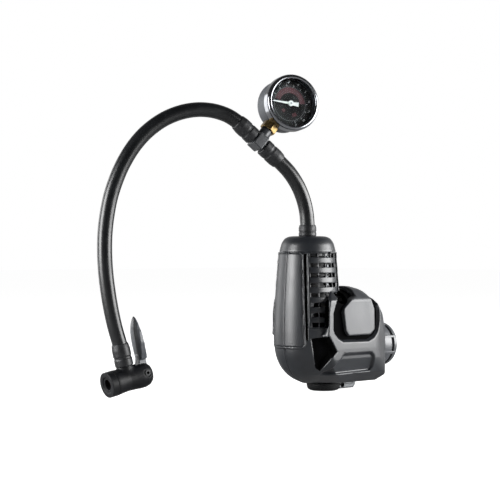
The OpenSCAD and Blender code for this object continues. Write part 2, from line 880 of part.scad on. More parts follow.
module crank_web() {
    color("#84868a") place() difference() {
        union() {
            bar_x(web_x, web_x + web_t, shaft_r + 3.5, 0, crank_z);
            bar_x(web_x, web_x + web_t, crank_pin_r + 2.2, 0, bdc_z);
            along_x(web_x, web_x + web_t) translate([0, crank_z])
                polygon([[-7, 0], [-4.2, -crank_throw], [4.2, -crank_throw], [7, 0]]);
            intersection() {
                bar_x(web_x, web_x + web_t, web_r, 0, crank_z);
                along_x(web_x, web_x + web_t) translate([0, crank_z])
                    polygon([[-6, 0], [-web_r, 5], [-web_r, web_r + 1], [web_r, web_r + 1], [web_r, 5], [6, 0]]);
            }
        }
        bar_x(web_x - 1, web_x + web_t + 1, shaft_r, 0, crank_z);
        bar_x(web_x - 1, web_x + web_t + 1, crank_pin_r, 0, bdc_z);
    }
}

// The pin stops short of the rod's eye: the pivot that opens the crank linkage
module crank_pin() {
    color("#c8cacc") place() bar_x(rod_half + open_pivot_gap, web_x + web_t, crank_pin_r, 0, bdc_z);
}

// ---------------------------------------------------------------- piston

module piston_rod() {
    eye_r = 8.5;
    crown_r = bore_r - 0.6;
    color("#d0d2d4") place() difference() {
        union() {
            bar_x(-rod_half, rod_half, eye_r, 0, bdc_z);
            along_x(-rod_half, rod_half) translate([0, bdc_z])
                polygon([[-7, 3], [-4, 13], [-4, rod_l - 9], [-7.5, rod_l - crown_t],
                    [7.5, rod_l - crown_t], [4, rod_l - 9], [4, 13], [7, 3]]);
            translate([0, 0, seal_z - crown_t]) cylinder(h = crown_t, r = crown_r);
        }
        bar_x(-rod_half - 1, rod_half + 1, 6.5, 0, bdc_z);
        translate([0, 0, seal_z - 8]) cylinder(h = 9, r = 1.2);
        for (face = [-rod_half - 1, rod_half - 1]) {
            translate([face, 0, bdc_z]) along_x(0, 2) polygon([[-2, 11], [2, 11], [2, rod_l - 11],
                [-2, rod_l - 11]]);
        }
    }
}

module big_end_bearing() {
    color("#c4c6c8") place() difference() {
        bar_x(-2.5, 2.5, 6.5, 0, bdc_z);
        bar_x(-4, 4, crank_pin_r, 0, bdc_z);
    }
}

module cup_seal() {
    outer = bore_r - seal_gap;
    color("#e6e0d0") place() translate([0, 0, seal_z]) rotate_extrude() polygon([
        [1.2, 0], [outer - 0.4, 0], [outer, 0.6], [outer, 3.2], [outer - 0.8, 3.2],
        [outer - 1.1, 1.2], [1.2, 1.2]
    ]);
}

module seal_retainer() {
    color("#9fa1a4") place() translate([0, 0, seal_z + 1.2]) difference() {
        cylinder(h = 1.2, r = bore_r - 2.2);
        translate([0, 0, -1]) cylinder(h = 4, r = 1.2);
    }
}

module retainer_screw() {
    color("silver") place() translate([0, 0, seal_z]) difference() {
        union() {
            translate([0, 0, -6]) cylinder(h = 8.4, r = 1.2);
            translate([0, 0, 2.4]) cylinder(h = 1.5, r = 2.6);
        }
        translate([0, 0, 3.1]) cylinder(h = 2, r = 1.2, $fn = 6);
    }
}

// ---------------------------------------------------------------- cylinder and head

module stud_holes(z0, h, r) {
    for (x = [-1, 1], y = [-1, 1]) {
        translate([x * stud_offset, y * stud_offset, z0]) cylinder(h = h, r = r);
    }
}

module cylinder_barrel_fins() {
    base = cylinder_z + 5;
    pitch = (cylinder_top - base) / fin_count;
    for (i = [0 : fin_count - 1]) {
        translate([0, 0, base + i * pitch]) cylinder(h = 1.4, r = fin_r);
    }
    translate([0, 0, cylinder_top - 2]) cylinder(h = 2, r = fin_r);
    translate([0, 0, cylinder_z]) cylinder(h = 3, r = fin_r);
}

module cylinder_node() {
    color("#b9bbbe") place() difference() {
        union() {
            translate([0, 0, cylinder_z]) cylinder(h = cylinder_top - cylinder_z, r = barrel_r);
            cylinder_barrel_fins();
        }
        translate([0, 0, cylinder_z - 1]) cylinder(h = cylinder_top - cylinder_z + 2, r = bore_r);
        stud_holes(cylinder_z - 1, cylinder_top - cylinder_z + 2, stud_r);
    }
}

module head_gasket() {
    color("#7b5a3c") place() translate([0, 0, cylinder_top]) difference() {
        cylinder(h = gasket_t, r = fin_r - 0.2);
        translate([0, 0, -1]) cylinder(h = 3, r = bore_r);
        stud_holes(-1, 3, stud_r);
    }
}

module cylinder_head() {
    color("#aeb0b3") place() difference() {
        union() {
            translate([0, 0, head_z]) cylinder(h = head_t, r = fin_r - 0.3);
            translate([0, 0, head_z]) cylinder(h = head_top - head_z, r = chamber_r + 2.4);
        }
        translate([0, 0, head_z - 1]) cylinder(h = 3, r = 2);
        translate([0, 0, valve_z]) cylinder(h = spring_z + spring_h - valve_z + 0.05, r = chamber_r);
        translate([0, 0, spring_z + spring_h - 1]) cylinder(h = 9, r = nipple_r);
        stud_holes(head_z - 1, head_t + 2, stud_r);
    }
}

module head_screws() {
    color("#55585c") place() for (x = [-1, 1], y = [-1, 1]) {
        translate([x * stud_offset, y * stud_offset, 0]) {
            translate([0, 0, head_plate_z + 0.3]) cylinder(h = head_z + head_t - head_plate_z, r = stud_r);
            translate([0, 0, head_z + head_t]) cylinder(h = 2.2, r = 2.5);
        }
    }
}

module delivery_valve() {
    color("#c87f3a") place() translate([0, 0, valve_z]) {
        cylinder(h = valve_t, r = valve_r);
        cylinder(h = valve_t + 1.6, r = 1.4);
    }
}

// Six-sided wire, eight rings to a turn
spring_rings = spring_turns * 8;
spring_pitch = (spring_h - spring_wire) / spring_turns;
function spring_point(i) =
    let (a = 360 * i / 8) [spring_r * cos(a), spring_r * sin(a), spring_wire / 2 + spring_pitch * i / 8];
function spring_ring(i) =
    let (a = 360 * i / 8, p = spring_point(i), out = [cos(a), sin(a), 0])
    [for (k = [0 : 5]) p + (out * cos(60 * k + 30) + [0, 0, 1] * sin(60 * k + 30)) * spring_wire / 2];

// Least clear distance between two turns
spring_gap = min([for (i = [0 : spring_rings - 8]) norm(spring_point(i + 8) - spring_point(i))])
    - spring_wire;
echo(spring_gap = spring_gap);

module valve_spring() {
    count = spring_rings + 1;
    points = [for (i = [0 : spring_rings]) each spring_ring(i)];
    walls = [for (i = [0 : count - 2], k = [0 : 5])
        let (a = i * 6 + k, b = i * 6 + (k + 1) % 6)
        each [[a, b + 6, b], [a, a + 6, b + 6]]];
    start = [for (k = [1 : 4]) [0, k, k + 1]];
    first = (count - 1) * 6;
    finish = [for (k = [1 : 4]) [first, first + k + 1, first + k]];
    color("#c9ccd0") place() translate([0, 0, spring_z])
        polyhedron(points = points, faces = concat(walls, start, finish));
}

module outlet_nipple() {
    low = spring_z + spring_h + 0.1;
    color("#c2a25a") place() translate([0, 0, low]) difference() {
        cylinder(h = base_seat - low, r = nipple_r);
        translate([0, 0, -1]) cylinder(h = base_seat - low + 2, r = nipple_bore_r);
    }
}

// ---------------------------------------------------------------- hose and fittings

// A crimped ferrule along Z from its floor at 0: its socket holds the end of the hose
module ferrule(l, floor_h, hole) {
    r = ferrule_d / 2;
    difference() {
        rotate_extrude() polygon([
            [0, 0], [r - 0.4, 0], [r, 0.4], [r, l * 0.3], [r - 0.35, l * 0.34], [r - 0.35, l * 0.42],
            [r, l * 0.46], [r, l * 0.74], [r - 0.7, l], [0, l]
        ]);
        translate([0, 0, floor_h]) cylinder(h = l, r = socket_r);
        translate([0, 0, -1]) cylinder(h = floor_h + 2, r = hole);
    }
}

module base_ferrule() {
    color("#26282b") place() translate([0, 0, cap_top])
        ferrule(base_ferrule_l, base_seat - cap_top, nipple_r);
}

module lower_hose() {
    color("#151719") place() in_hose_plane()
        tube(lower_route, hose_r / cos(180 / hose_sides), hose_sides);
}

module upper_hose() {
    color("#151719") place() in_hose_plane()
        tube(upper_route, hose_r / cos(180 / hose_sides), hose_sides);
}

module tee_ferrule(side) {
    start = ferrule_floor - 3.5;
    at_tee() rotate([0, side * 90, 0]) translate([0, 0, start])
        ferrule(ferrule_mouth - start, 3.5, nipple_r);
}

module lower_tee_ferrule() {
    color("#26282b") tee_ferrule(-1);
}

module upper_tee_ferrule() {
    color("#26282b") tee_ferrule(1);
}

module tee_fitting() {
    color("#3a3d40") at_gauge() difference() {
        union() {
            along_x(-tee_half, tee_half) rounded(0.8) square([13, 11], center = true);
            bar_x(-ferrule_floor, ferrule_floor, nipple_r);
            bar_x(-ferrule_floor + 3.5, ferrule_floor - 3.5, 5);
            cylinder(h = stem_hex_z, r = 4.6);
        }
        bar_x(-ferrule_floor - 1, ferrule_floor + 1, nipple_bore_r);
        cylinder(h = stem_hex_z + 1, r = nipple_bore_r);
        translate([0, 0, 6.5]) cylinder(h = stem_hex_z, r = 3.2);
    }
}

// ---------------------------------------------------------------- gauge

module gauge_socket() {
    neck_top = gauge_rise - case_r + case_wall + 3;
    color("#b8944f") at_gauge() difference() {
        union() {
            translate([0, 0, 6.6]) cylinder(h = stem_hex_z - 6.6, r = 3.2);
            translate([0, 0, stem_hex_z]) cylinder(h = stem_hex_l, r = socket_af / 2 / cos(30), $fn = 6);
            translate([0, 0, stem_hex_z]) cylinder(h = neck_top - stem_hex_z, r = socket_neck_r);
            translate([-4, gauge_back + 3.5, neck_top - 1]) cube([8, 10, 8]);
        }
        translate([0, 0, 6]) cylinder(h = neck_top - 4, r = 1.2);
    }
}

module gauge_case() {
    back = gauge_back;
    r = case_r;
    w = case_wall;
    color("#5d6165") at_gauge() difference() {
        translate([0, 0, gauge_rise]) rotate([-90, 0, 0]) rotate_extrude() polygon([
            [0, back], [r - 2.2, back], [r - 0.7, back + 0.7], [r, back + 2.2], [r, dial_y + 4.5],
            [r - w, dial_y + 4.5], [r - w, back + 2.2], [r - 2.2, back + w], [0, back + w]
        ]);
        cylinder(h = gauge_rise - case_r / 2, r = socket_neck_r);
    }
}

module gauge_bezel() {
    r = gauge_r;
    f = gauge_front;
    color("#dadcde") at_gauge() translate([0, 0, gauge_rise]) rotate([-90, 0, 0])
        rotate_extrude() polygon([
            [case_r, dial_y - 0.5], [r - 0.6, dial_y - 0.5], [r, dial_y + 0.3], [r, f - 2.2],
            [r - 0.5, f - 0.9], [r - 1.4, f - 0.2], [r - 2.4, f], [r - 3.1, f - 0.5],
            [r - 3.4, lens_y + lens_t], [r - 2, lens_y + lens_t], [r - 2, dial_y + 4.5],
            [case_r, dial_y + 4.5]
        ]);
}

module gauge_lens() {
    color([0.85, 0.92, 0.95, 0.35]) at_gauge() translate([0, 0, gauge_rise])
        bar_y(lens_y, lens_y + lens_t, gauge_r - 2);
}

module gauge_dial() {
    color("#202124") at_gauge() translate([0, 0, gauge_rise]) difference() {
        bar_y(dial_y, dial_y + dial_t, case_r - case_wall);
        bar_y(dial_y - 1, dial_y + 2, 1.3);
    }
}

// A flattened tube bent to a C, brazed to the socket at one end and closed at the other
module bourdon_tube() {
    mean_r = case_r - case_wall - 3.4;
    y = gauge_back + 4;
    color("#b98f4e") at_gauge() translate([0, 0, gauge_rise]) rotate([-90, 0, 0])
        rotate([0, 0, 107]) rotate_extrude(angle = 257) translate([mean_r - 1.1, y])
            difference() {
                square([2.2, 6]);
                translate([0.5, 0.5]) square([1.2, 5]);
            }
}

module gauge_movement() {
    back = gauge_back + 4;
    front = dial_y - 1;
    color("#c5a25f") at_gauge() translate([0, 0, gauge_rise]) difference() {
        union() {
            for (y = [back, front - 1]) {
                translate([-7, y, -9]) cube([14, 1, 15]);
            }
            for (x = [-5, 5]) {
                bar_y(back, front, 1.2, x, -6);
                bar_y(back, front, 1.2, x, 4);
            }
            translate([0, back + 3, 0]) along_y(0, 1) polygon([[-1.4, 3.2], [1.4, 3.2], [6, -8], [-6, -8]]);
            bar_y(back, back + 4, 1, 0, -5);
        }
        bar_y(back - 1, front + 1, 0.85);
        translate([0, back + 2.5, 0]) bar_y(0, 2, 1.6);
        translate([-4.1, back - 1, -12]) cube([8.2, 7, 3.4]);
    }
}

module pointer_shaft() {
    back = gauge_back + 4;
    color("#c8cacc") at_gauge() translate([0, 0, gauge_rise]) {
        bar_y(back + 0.1, pointer_y + 1.2, 0.8);
        bar_y(back + 2.6, back + 4.4, 1.4);
    }
}

module gauge_pointer() {
    color("#e9e9e6") at_gauge() translate([0, 0, gauge_rise]) rotate([0, zero_angle, 0]) difference() {
        union() {
            along_y(pointer_y, pointer_y + 0.5)
                polygon([[-0.9, 0], [-0.35, 14], [0, 15], [0.35, 14], [0.9, 0], [1.7, -6.5], [-1.7, -6.5]]);
            bar_y(pointer_y, pointer_y + 1, 2.1);
        }
        bar_y(pointer_y - 1, pointer_y + 2, 0.8);
    }
}

// ---------------------------------------------------------------- chuck

module chuck_ferrule() {
    color("#26282b") at_neck() translate([0, 0, neck_h]) ferrule(chuck_ferrule_l, 3.5, nipple_bore_r);
}

module chuck_body() {
    r = chuck_r;
    rear = chuck_rear;
    color("#2b2d31") at_chuck() difference() {
        union() {
            rotate([0, 90, 0]) rotate_extrude() polygon([
                [0, rear], [r - 4.4, rear + 0.3], [r - 2.2, rear + 1.3], [r - 0.7, rear + 3.4],
                [r, rear + 6.5], [r, -9], [r - 0.5, -4], [r - 0.8, 1], [r - 0.5, 6], [r, 10.5],
                [r, nut_x], [0, nut_x]
            ]);
            cylinder(h = neck_h, r = ferrule_d / 2 - 0.6);
        }
        cylinder(h = neck_h + 1, r = nipple_bore_r);
        bar_x(rear - 1, past, plunger_rod_r + 0.2);
        bar_x(plunger_head_x - plunger_travel - 0.5, past, plunger_head_r + 0.3);
        bar_x(nut_x - 3.6, past, skirt_r);
        translate([rear - 1, -slot_half, -6]) cube([-rear + plunger_rear + 1.4, 2 * slot_half, past]);
        bar_y(-past, past, lever_pin_r, lever_x, lever_z);
    }
}

module nose_nut() {
    r = chuck_r;
    color("#8f9296") at_chuck() difference() {
        rotate([0, 90, 0]) rotate_extrude() polygon([
            [port_r, nut_x], [plunger_head_r + 0.4, nut_x], [plunger_head_r + 0.4, nut_x - 3.5],
            [skirt_r, nut_x - 3.5], [skirt_r, nut_x], [r, nut_x], [r, chuck_mouth - 1],
            [r - 1, chuck_mouth], [port_r + 0.8, chuck_mouth], [port_r, chuck_mouth - 0.8]
        ]);
        bar_x(nut_x - 1, past, port_r);
    }
}

module chuck_seal() {
    color("#3a1f1c") at_chuck() difference() {
        bar_x(nut_x - seal_t, nut_x, plunger_head_r + 0.4);
        bar_x(nut_x - seal_t - 1, nut_x + 1, port_r - seal_grip);
    }
}

module chuck_plunger() {
    head_end = nut_x - seal_t - cam_gap;
    color("#a98c4e") at_chuck() difference() {
        union() {
            bar_x(plunger_rear, plunger_head_x + 1, plunger_rod_r);
            bar_x(plunger_head_x, head_end, plunger_head_r);
        }
        bar_x(plunger_rear + 4, head_end + 1, 1);
        bar_x(head_end - 1.5, head_end + 1, plunger_rod_r);
        bar_y(-past, past, 1, 0);
        translate([0, 0, -past]) cylinder(h = 2 * past, r = 1);
    }
}

module depressor_pin() {
    color("silver") at_chuck() {
        bar_x(plunger_head_x - 3, nut_x - 0.4, 0.95);
    }
}

module lever_pin() {
    end = sqrt(chuck_r * chuck_r - lever_z * lever_z) - 0.1;
    color("#9a9da1") at_chuck() difference() {
        bar_y(-end, end, lever_pin_r, lever_x, lever_z);
        bar_y(-end - 1, end + 1, lever_pin_r - 1, lever_x, lever_z);
    }
}

// Cam radius by angle below the port direction: it falls evenly over the lever's swing
function cam_radius(a) = cam_r - plunger_travel * min(max(a, 0), 90) / 90;

module cam_outline() {
    polygon(concat(
        [for (a = [0 : 10 : 100]) cam_radius(a) * [cos(a), -sin(a)]],
        [for (a = [120 : 20 : 340]) let (r = a > 240 ? cam_r : cam_r - plunger_travel)
            r * [cos(a), -sin(a)]]
    ));
}

module chuck_lever() {
    base = chuck_r + 2.4;
    top = lever_top;
    lean = -2.4;
    half = lever_w / 2;
    color("#2f3236") at_chuck() difference() {
        union() {
            translate([lever_x, 0, lever_z]) along_y(-root_half, root_half) cam_outline();
            along_y(-root_half, root_half) polygon([
                [lever_x - 4, lever_z], [lever_x - 4.4, base + 3], [lever_x + 0.6, base + 3],
                [lever_x + 4, lever_z + 3], [lever_x + 4, lever_z]
            ]);
            intersection() {
                along_y(-half, half) polygon([
                    [lever_x - 4.4, base], [lever_x - 4.6, base + 10], [lever_x - 4, top - 4],
                    [lever_x + lean, top], [lever_x + lean + 0.8, top], [lever_x - 1, top - 6],
                    [lever_x - 1.2, base + 12], [lever_x + 0.6, base]
                ]);
                translate([lever_x - 8, 0, 0]) along_x(0, 12) polygon([
                    [-root_half, base], [-half * 0.85, base + 5], [-half, base + 13],
                    [-half * 0.92, base + 20], [-half * 0.62, top - 5], [-half * 0.28, top - 1],
                    [0, top], [half * 0.28, top - 1], [half * 0.62, top - 5],
                    [half * 0.92, base + 20], [half, base + 13], [half * 0.85, base + 5],
                    [root_half, base]
                ]);
            }
        }
        bar_y(-past, past, lever_pin_r + run_fit, lever_x, lever_z);
    }
}

// ---------------------------------------------------------------- nodes

housing_left();
housing_right();
top_cap();
saddle_strap();
coupling_collar();
collar_screws();
foot_cup();
lock_key();
lock_key_pin();
housing_screws();
gear_frame();
cylinder_node();  // cylinder
cylinder_head();
head_gasket();
head_screws();
valve_spring();
outlet_nipple();
shaft_bearing_rear();
shaft_bearing_front();
crank_bearing_rear();
crank_bearing_front();
input_shaft();
drive_dog();
drive_pinion();
drive_gear();
crank_shaft();
crank_web();
crank_pin();
piston_rod();
big_end_bearing();
cup_seal();
seal_retainer();
retainer_screw();
delivery_valve();
base_ferrule();
lower_hose();
lower_tee_ferrule();
tee_fitting();
upper_tee_ferrule();
upper_hose();
chuck_ferrule();
gauge_socket();
gauge_case();
gauge_bezel();
gauge_lens();
gauge_dial();
bourdon_tube();
gauge_movement();
gauge_pointer();
pointer_shaft();
chuck_body();
chuck_seal();
nose_nut();
lever_pin();
chuck_lever();
chuck_plunger();
depressor_pin();
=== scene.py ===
import functools
import math

import bmesh
import bpy
import numpy as np
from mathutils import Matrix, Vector


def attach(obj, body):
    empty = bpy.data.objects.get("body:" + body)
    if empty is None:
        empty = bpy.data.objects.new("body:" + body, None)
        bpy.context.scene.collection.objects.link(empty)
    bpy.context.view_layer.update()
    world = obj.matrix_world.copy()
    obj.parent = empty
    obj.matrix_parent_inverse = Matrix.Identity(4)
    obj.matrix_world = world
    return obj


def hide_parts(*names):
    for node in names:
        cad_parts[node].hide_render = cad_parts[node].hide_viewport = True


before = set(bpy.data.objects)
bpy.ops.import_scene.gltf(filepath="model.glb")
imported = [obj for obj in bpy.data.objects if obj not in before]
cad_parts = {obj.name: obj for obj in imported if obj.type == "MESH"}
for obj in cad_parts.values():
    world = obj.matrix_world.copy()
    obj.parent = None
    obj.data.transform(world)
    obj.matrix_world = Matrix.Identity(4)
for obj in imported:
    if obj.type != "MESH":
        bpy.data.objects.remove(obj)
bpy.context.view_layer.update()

bl_info = {
    "name": "Tire Inflator Head",
    "version": (1, 0, 0),
    "blender": (4, 5, 0),
    "location": "View3D > Sidebar > Inflator",
    "description": "Dresses the packed tire inflator head with shells, hose, gauge and chuck",
    "category": "Object",
}

MM = 0.001
ORIGIN = np.array([-86.0, 0.0, -33.0])  # tower's axis and foot to the row frame, in millimetres
TAU = 2.0 * math.pi


# ---- values a user would change

def length(name, description, default, low, high):
    """A length in metres for the panel, with its limits."""
    return bpy.props.FloatProperty(name=name, description=description, default=default, min=low,
                                   max=high, unit="LENGTH", precision=5)


class InflatorSizes(bpy.types.PropertyGroup):
    """Sizes of the dressed pieces, in metres."""
    shell_grid: length("Shell grid", "Spacing of the grid that the housing is contoured on",
                       0.00062, 0.0004, 0.002)
    fine_grid: length("Fine grid", "Spacing of the grid for the small fittings",
                      0.00036, 0.0002, 0.001)
    panel_proud: length("Front panel height", "How far the front panel stands off the tower",
                        0.0007, 0.0003, 0.001)
    vent_recess: length("Vent recess", "Depth of the field that the slots lie in",
                        0.0011, 0.0004, 0.0014)
    hose_diameter: length("Hose diameter", "Outer diameter of the rubber hose",
                          0.011, 0.0106, 0.0111)


class InflatorColours(bpy.types.PropertyGroup):
    """Main colours, as sRGB hex values."""
    shell: bpy.props.StringProperty(
        name="Shell", description="Moulded housing", default="#16181C")
    plate: bpy.props.StringProperty(
        name="Side plate", description="Saddle strap over the gearbox", default="#2F3134")
    hose: bpy.props.StringProperty(
        name="Hose", description="Extruded rubber hose", default="#08090B")
    enamel: bpy.props.StringProperty(
        name="Gauge case", description="Stoved enamel on the gauge's case", default="#33363B")
    red: bpy.props.StringProperty(
        name="Dial red", description="Red scale printed on the dial", default="#3E0F18")


def sizes():
    return bpy.context.scene.inflator_sizes


def colours():
    return bpy.context.scene.inflator_colours


# ---- frames and placing

def turn(axis, degrees):
    """Matrix of a right-handed turn about one axis."""
    a = math.radians(degrees)
    c, s = math.cos(a), math.sin(a)
    return {"x": np.array([[1, 0, 0], [0, c, -s], [0, s, c]]),
            "y": np.array([[c, 0, s], [0, 1, 0], [-s, 0, c]]),
            "z": np.array([[c, -s, 0], [s, c, 0], [0, 0, 1]])}[axis]


HOSE_PLANE = turn("z", 155)
TEE_AT = HOSE_PLANE @ np.array([39.9, 0.0, 188.8])
TEE_TURN = HOSE_PLANE @ turn("y", -41)
GAUGE_TURN = TEE_TURN @ turn("x", 7)
GAUGE_RISE = 38.5
NECK_TURN = HOSE_PLANE @ turn("y", 12.4)
NECK_AT = HOSE_PLANE @ np.array([144.5, 0.0, 26.6]) + NECK_TURN @ np.array([0.0, 0.0, -13.5])
CHUCK_TURN = NECK_TURN @ turn("z", 15)
STRAIGHT = np.eye(3)
FOOT = np.zeros(3)


def placed(points, at=FOOT, matrix=STRAIGHT):
    """Local millimetres to metres in the row frame: turned, moved, then scaled."""
    return (np.asarray(points, float) @ np.asarray(matrix).T + at + ORIGIN) * MM


def link(obj):
    bpy.context.scene.collection.objects.link(obj)


def put(name, points, faces, material, body="housing", nodes=(), smooth=True):
    """A mesh piece from whole arrays of points in metres and faces, riding on its body."""
    mesh = bpy.data.meshes.new(name)
    if isinstance(faces, np.ndarray):
        width = faces.shape[1]
        mesh.vertices.add(len(points))
        mesh.vertices.foreach_set("co", np.ascontiguousarray(points, np.float32).ravel())
        mesh.loops.add(faces.size)
        mesh.loops.foreach_set("vertex_index", faces.astype(np.int32).ravel())
        mesh.polygons.add(len(faces))
        mesh.polygons.foreach_set("loop_start", np.arange(len(faces), dtype=np.int32) * width)
        mesh.update(calc_edges=True)
        mesh.validate()
    else:
        mesh.from_pydata(np.asarray(points).tolist(), [], faces)
        mesh.update()
    mesh.polygons.foreach_set("use_smooth", np.full(len(mesh.polygons), smooth))
    mesh.materials.append(material)
    piece = bpy.data.objects.new(name, mesh)
    link(piece)
    if nodes:
        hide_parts(*nodes)
    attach(piece, body)
    return piece


# ---- surfaces from profiles

def soften(corners, radius, steps=4, closed=True):
    """Corners of an outline turned to arcs: each corner becomes the quadratic arc between the
    points one radius back and one radius on, with a support point just outside each end."""
    p = np.asarray(corners, float)
    radii = np.broadcast_to(np.asarray(radius, float), (len(p),)).copy()
    if not closed:
        radii[0] = radii[-1] = 0.0
    before, after = np.roll(p, 1, 0) - p, np.roll(p, -1, 0) - p
    la, lb = np.linalg.norm(before, axis=1), np.linalg.norm(after, axis=1)
    radii = np.minimum(radii, 0.42 * np.minimum(la, lb))
    ua, ub = before / la[:, None], after / lb[:, None]
    rows = []
    for i, r in enumerate(radii):
        if r <= 0:
            rows.append(p[i:i + 1])
            continue
        t = np.linspace(0, 1, steps + 1)[:, None]
        arc = ((1 - t) ** 2 * (p[i] + ua[i] * r) + 2 * t * (1 - t) * p[i]
               + t ** 2 * (p[i] + ub[i] * r))
        rows.append(np.vstack([p[i] + ua[i] * r * 1.12, arc, p[i] + ub[i] * r * 1.12]))
    return np.vstack(rows)


def skin(rows, closed=False):
    """Faces between successive rings of points. Open ends are closed with a fan to the middle."""
    count, sides = rows.shape[0], rows.shape[1]
    grid = np.arange(count * sides).reshape(count, sides)
    if closed:
        grid = np.vstack([grid, grid[:1]])
    a, b = grid[:-1], grid[1:]
    quads = np.stack([a, np.roll(a, -1, 1), np.roll(b, -1, 1), b], -1).reshape(-1, 4)
    points = rows.reshape(-1, 3)
    if closed:
        return points, quads
    faces = quads.tolist()
    for ring, flip in ((grid[0], True), (grid[-1], False)):
        middle = len(points)
        points = np.vstack([points, points[ring].mean(0)])
        after = np.roll(ring, -1)
        fan = np.stack([ring, after, np.full(sides, middle)], -1)
        faces += (fan[:, ::-1] if flip else fan).tolist()
    return points, faces


def lathe(profile, sides=96, axis="z", closed=True, ripple=None):
    """A profile of (radius, height) carried round an axis: point = radius * (cos a, sin a), height.
    ripple(a, radius, height) returns the radius again where the round is not true."""
    p = np.asarray(profile, float)
    area = np.sum(p[:, 0] * np.roll(p[:, 1], -1) - np.roll(p[:, 0], -1) * p[:, 1])
    if area < 0:
        p = p[::-1]
    a = np.arange(sides) * TAU / sides
    radius = np.repeat(p[:, :1], sides, 1)
    height = np.repeat(p[:, 1:], sides, 1)
    if ripple:
        radius = ripple(a[None, :], radius, height)
    u, v = radius * np.cos(a), radius * np.sin(a)
    order = {"z": (u, v, height), "x": (height, u, v), "y": (v, height, u)}[axis]
    return skin(np.stack(order, -1), closed)


def smooth_route(points, spacing):
    """A Catmull-Rom curve through the points, sampled evenly by its own length."""
    p = np.asarray(points, float)
    q = np.vstack([2 * p[0] - p[1], p, 2 * p[-1] - p[-2]])
    t = np.linspace(0, 1, 24, endpoint=False)[None, :, None]
    a, b, c, d = (q[i:len(q) - 3 + i, None, :] for i in range(4))
    fine = 0.5 * (2 * b + (c - a) * t + (2 * a - 5 * b + 4 * c - d) * t ** 2
                  + (3 * b - a - 3 * c + d) * t ** 3)
    fine = np.vstack([fine.reshape(-1, p.shape[1]), p[-1:]])
    run = np.concatenate([[0], np.cumsum(np.linalg.norm(np.diff(fine, axis=0), axis=1))])
    at = np.linspace(0, run[-1], max(2, int(run[-1] / spacing) + 1))
    return np.stack([np.interp(at, run, fine[:, k]) for k in range(p.shape[1])], -1), run[-1]


# ---- surfaces from fields

def meet(r, *fields):
    """Rounded intersection: within r of the edge the depths add as the legs of a right angle."""
    deepest = functools.reduce(np.maximum, fields)
    if r <= 0:
        return deepest
    legs = functools.reduce(lambda s, f: s + np.maximum(f + r, 0.0) ** 2, fields, 0.0)
    return np.minimum(deepest, -r) + np.sqrt(legs)


def join(r, *fields):
    """Rounded union: the intersection of the outsides, turned inside out."""
    return -meet(r, *[-f for f in fields])


def cut(r, solid, *tools):
    """The solid without the tools, its new edges rounded to r."""
    return meet(r, solid, *[-t for t in tools])


def outline(corners, r=0.0):
    """Signed distance to a polygon whose corners are rounded to r: the distance to the polygon
    drawn in by r, less r. Distances are to the nearest side; the sign counts crossings."""
    p = np.asarray(corners, float)
    if np.sum(p[:, 0] * np.roll(p[:, 1], -1) - np.roll(p[:, 0], -1) * p[:, 1]) < 0:
        p = p[::-1]
    d = np.roll(p, -1, 0) - p
    n = np.stack([-d[:, 1], d[:, 0]], 1) / np.linalg.norm(d, axis=1)[:, None]
    c = np.sum(n * p, 1) + r
    n0, c0 = np.roll(n, 1, 0), np.roll(c, 1)
    det = n0[:, 0] * n[:, 1] - n0[:, 1] * n[:, 0]
    q = np.stack([(c0 * n[:, 1] - c * n0[:, 1]) / det, (n0[:, 0] * c - n[:, 0] * c0) / det], 1)

    def distance(u, v):
        best, inside = np.inf, False
        for (ax, ay), (bx, by) in zip(q, np.roll(q, -1, 0)):
            ex, ey = bx - ax, by - ay
            wx, wy = u - ax, v - ay
            t = np.clip((wx * ex + wy * ey) / (ex * ex + ey * ey), 0, 1)
            best = np.minimum(best, (wx - ex * t) ** 2 + (wy - ey * t) ** 2)
            above, below, left = v >= ay, v < by, ex * wy > ey * wx
            inside = inside ^ ((above & below & left) | (~above & ~below & ~left))
        return np.where(inside, -1.0, 1.0) * np.sqrt(best) - r
    return distance


def box(x, y, z, low, high, r=0.0):
    """Signed distance to a block between two corners."""
    return meet(r, low[0] - x, x - high[0], low[1] - y, y - high[1], low[2] - z, z - high[2])


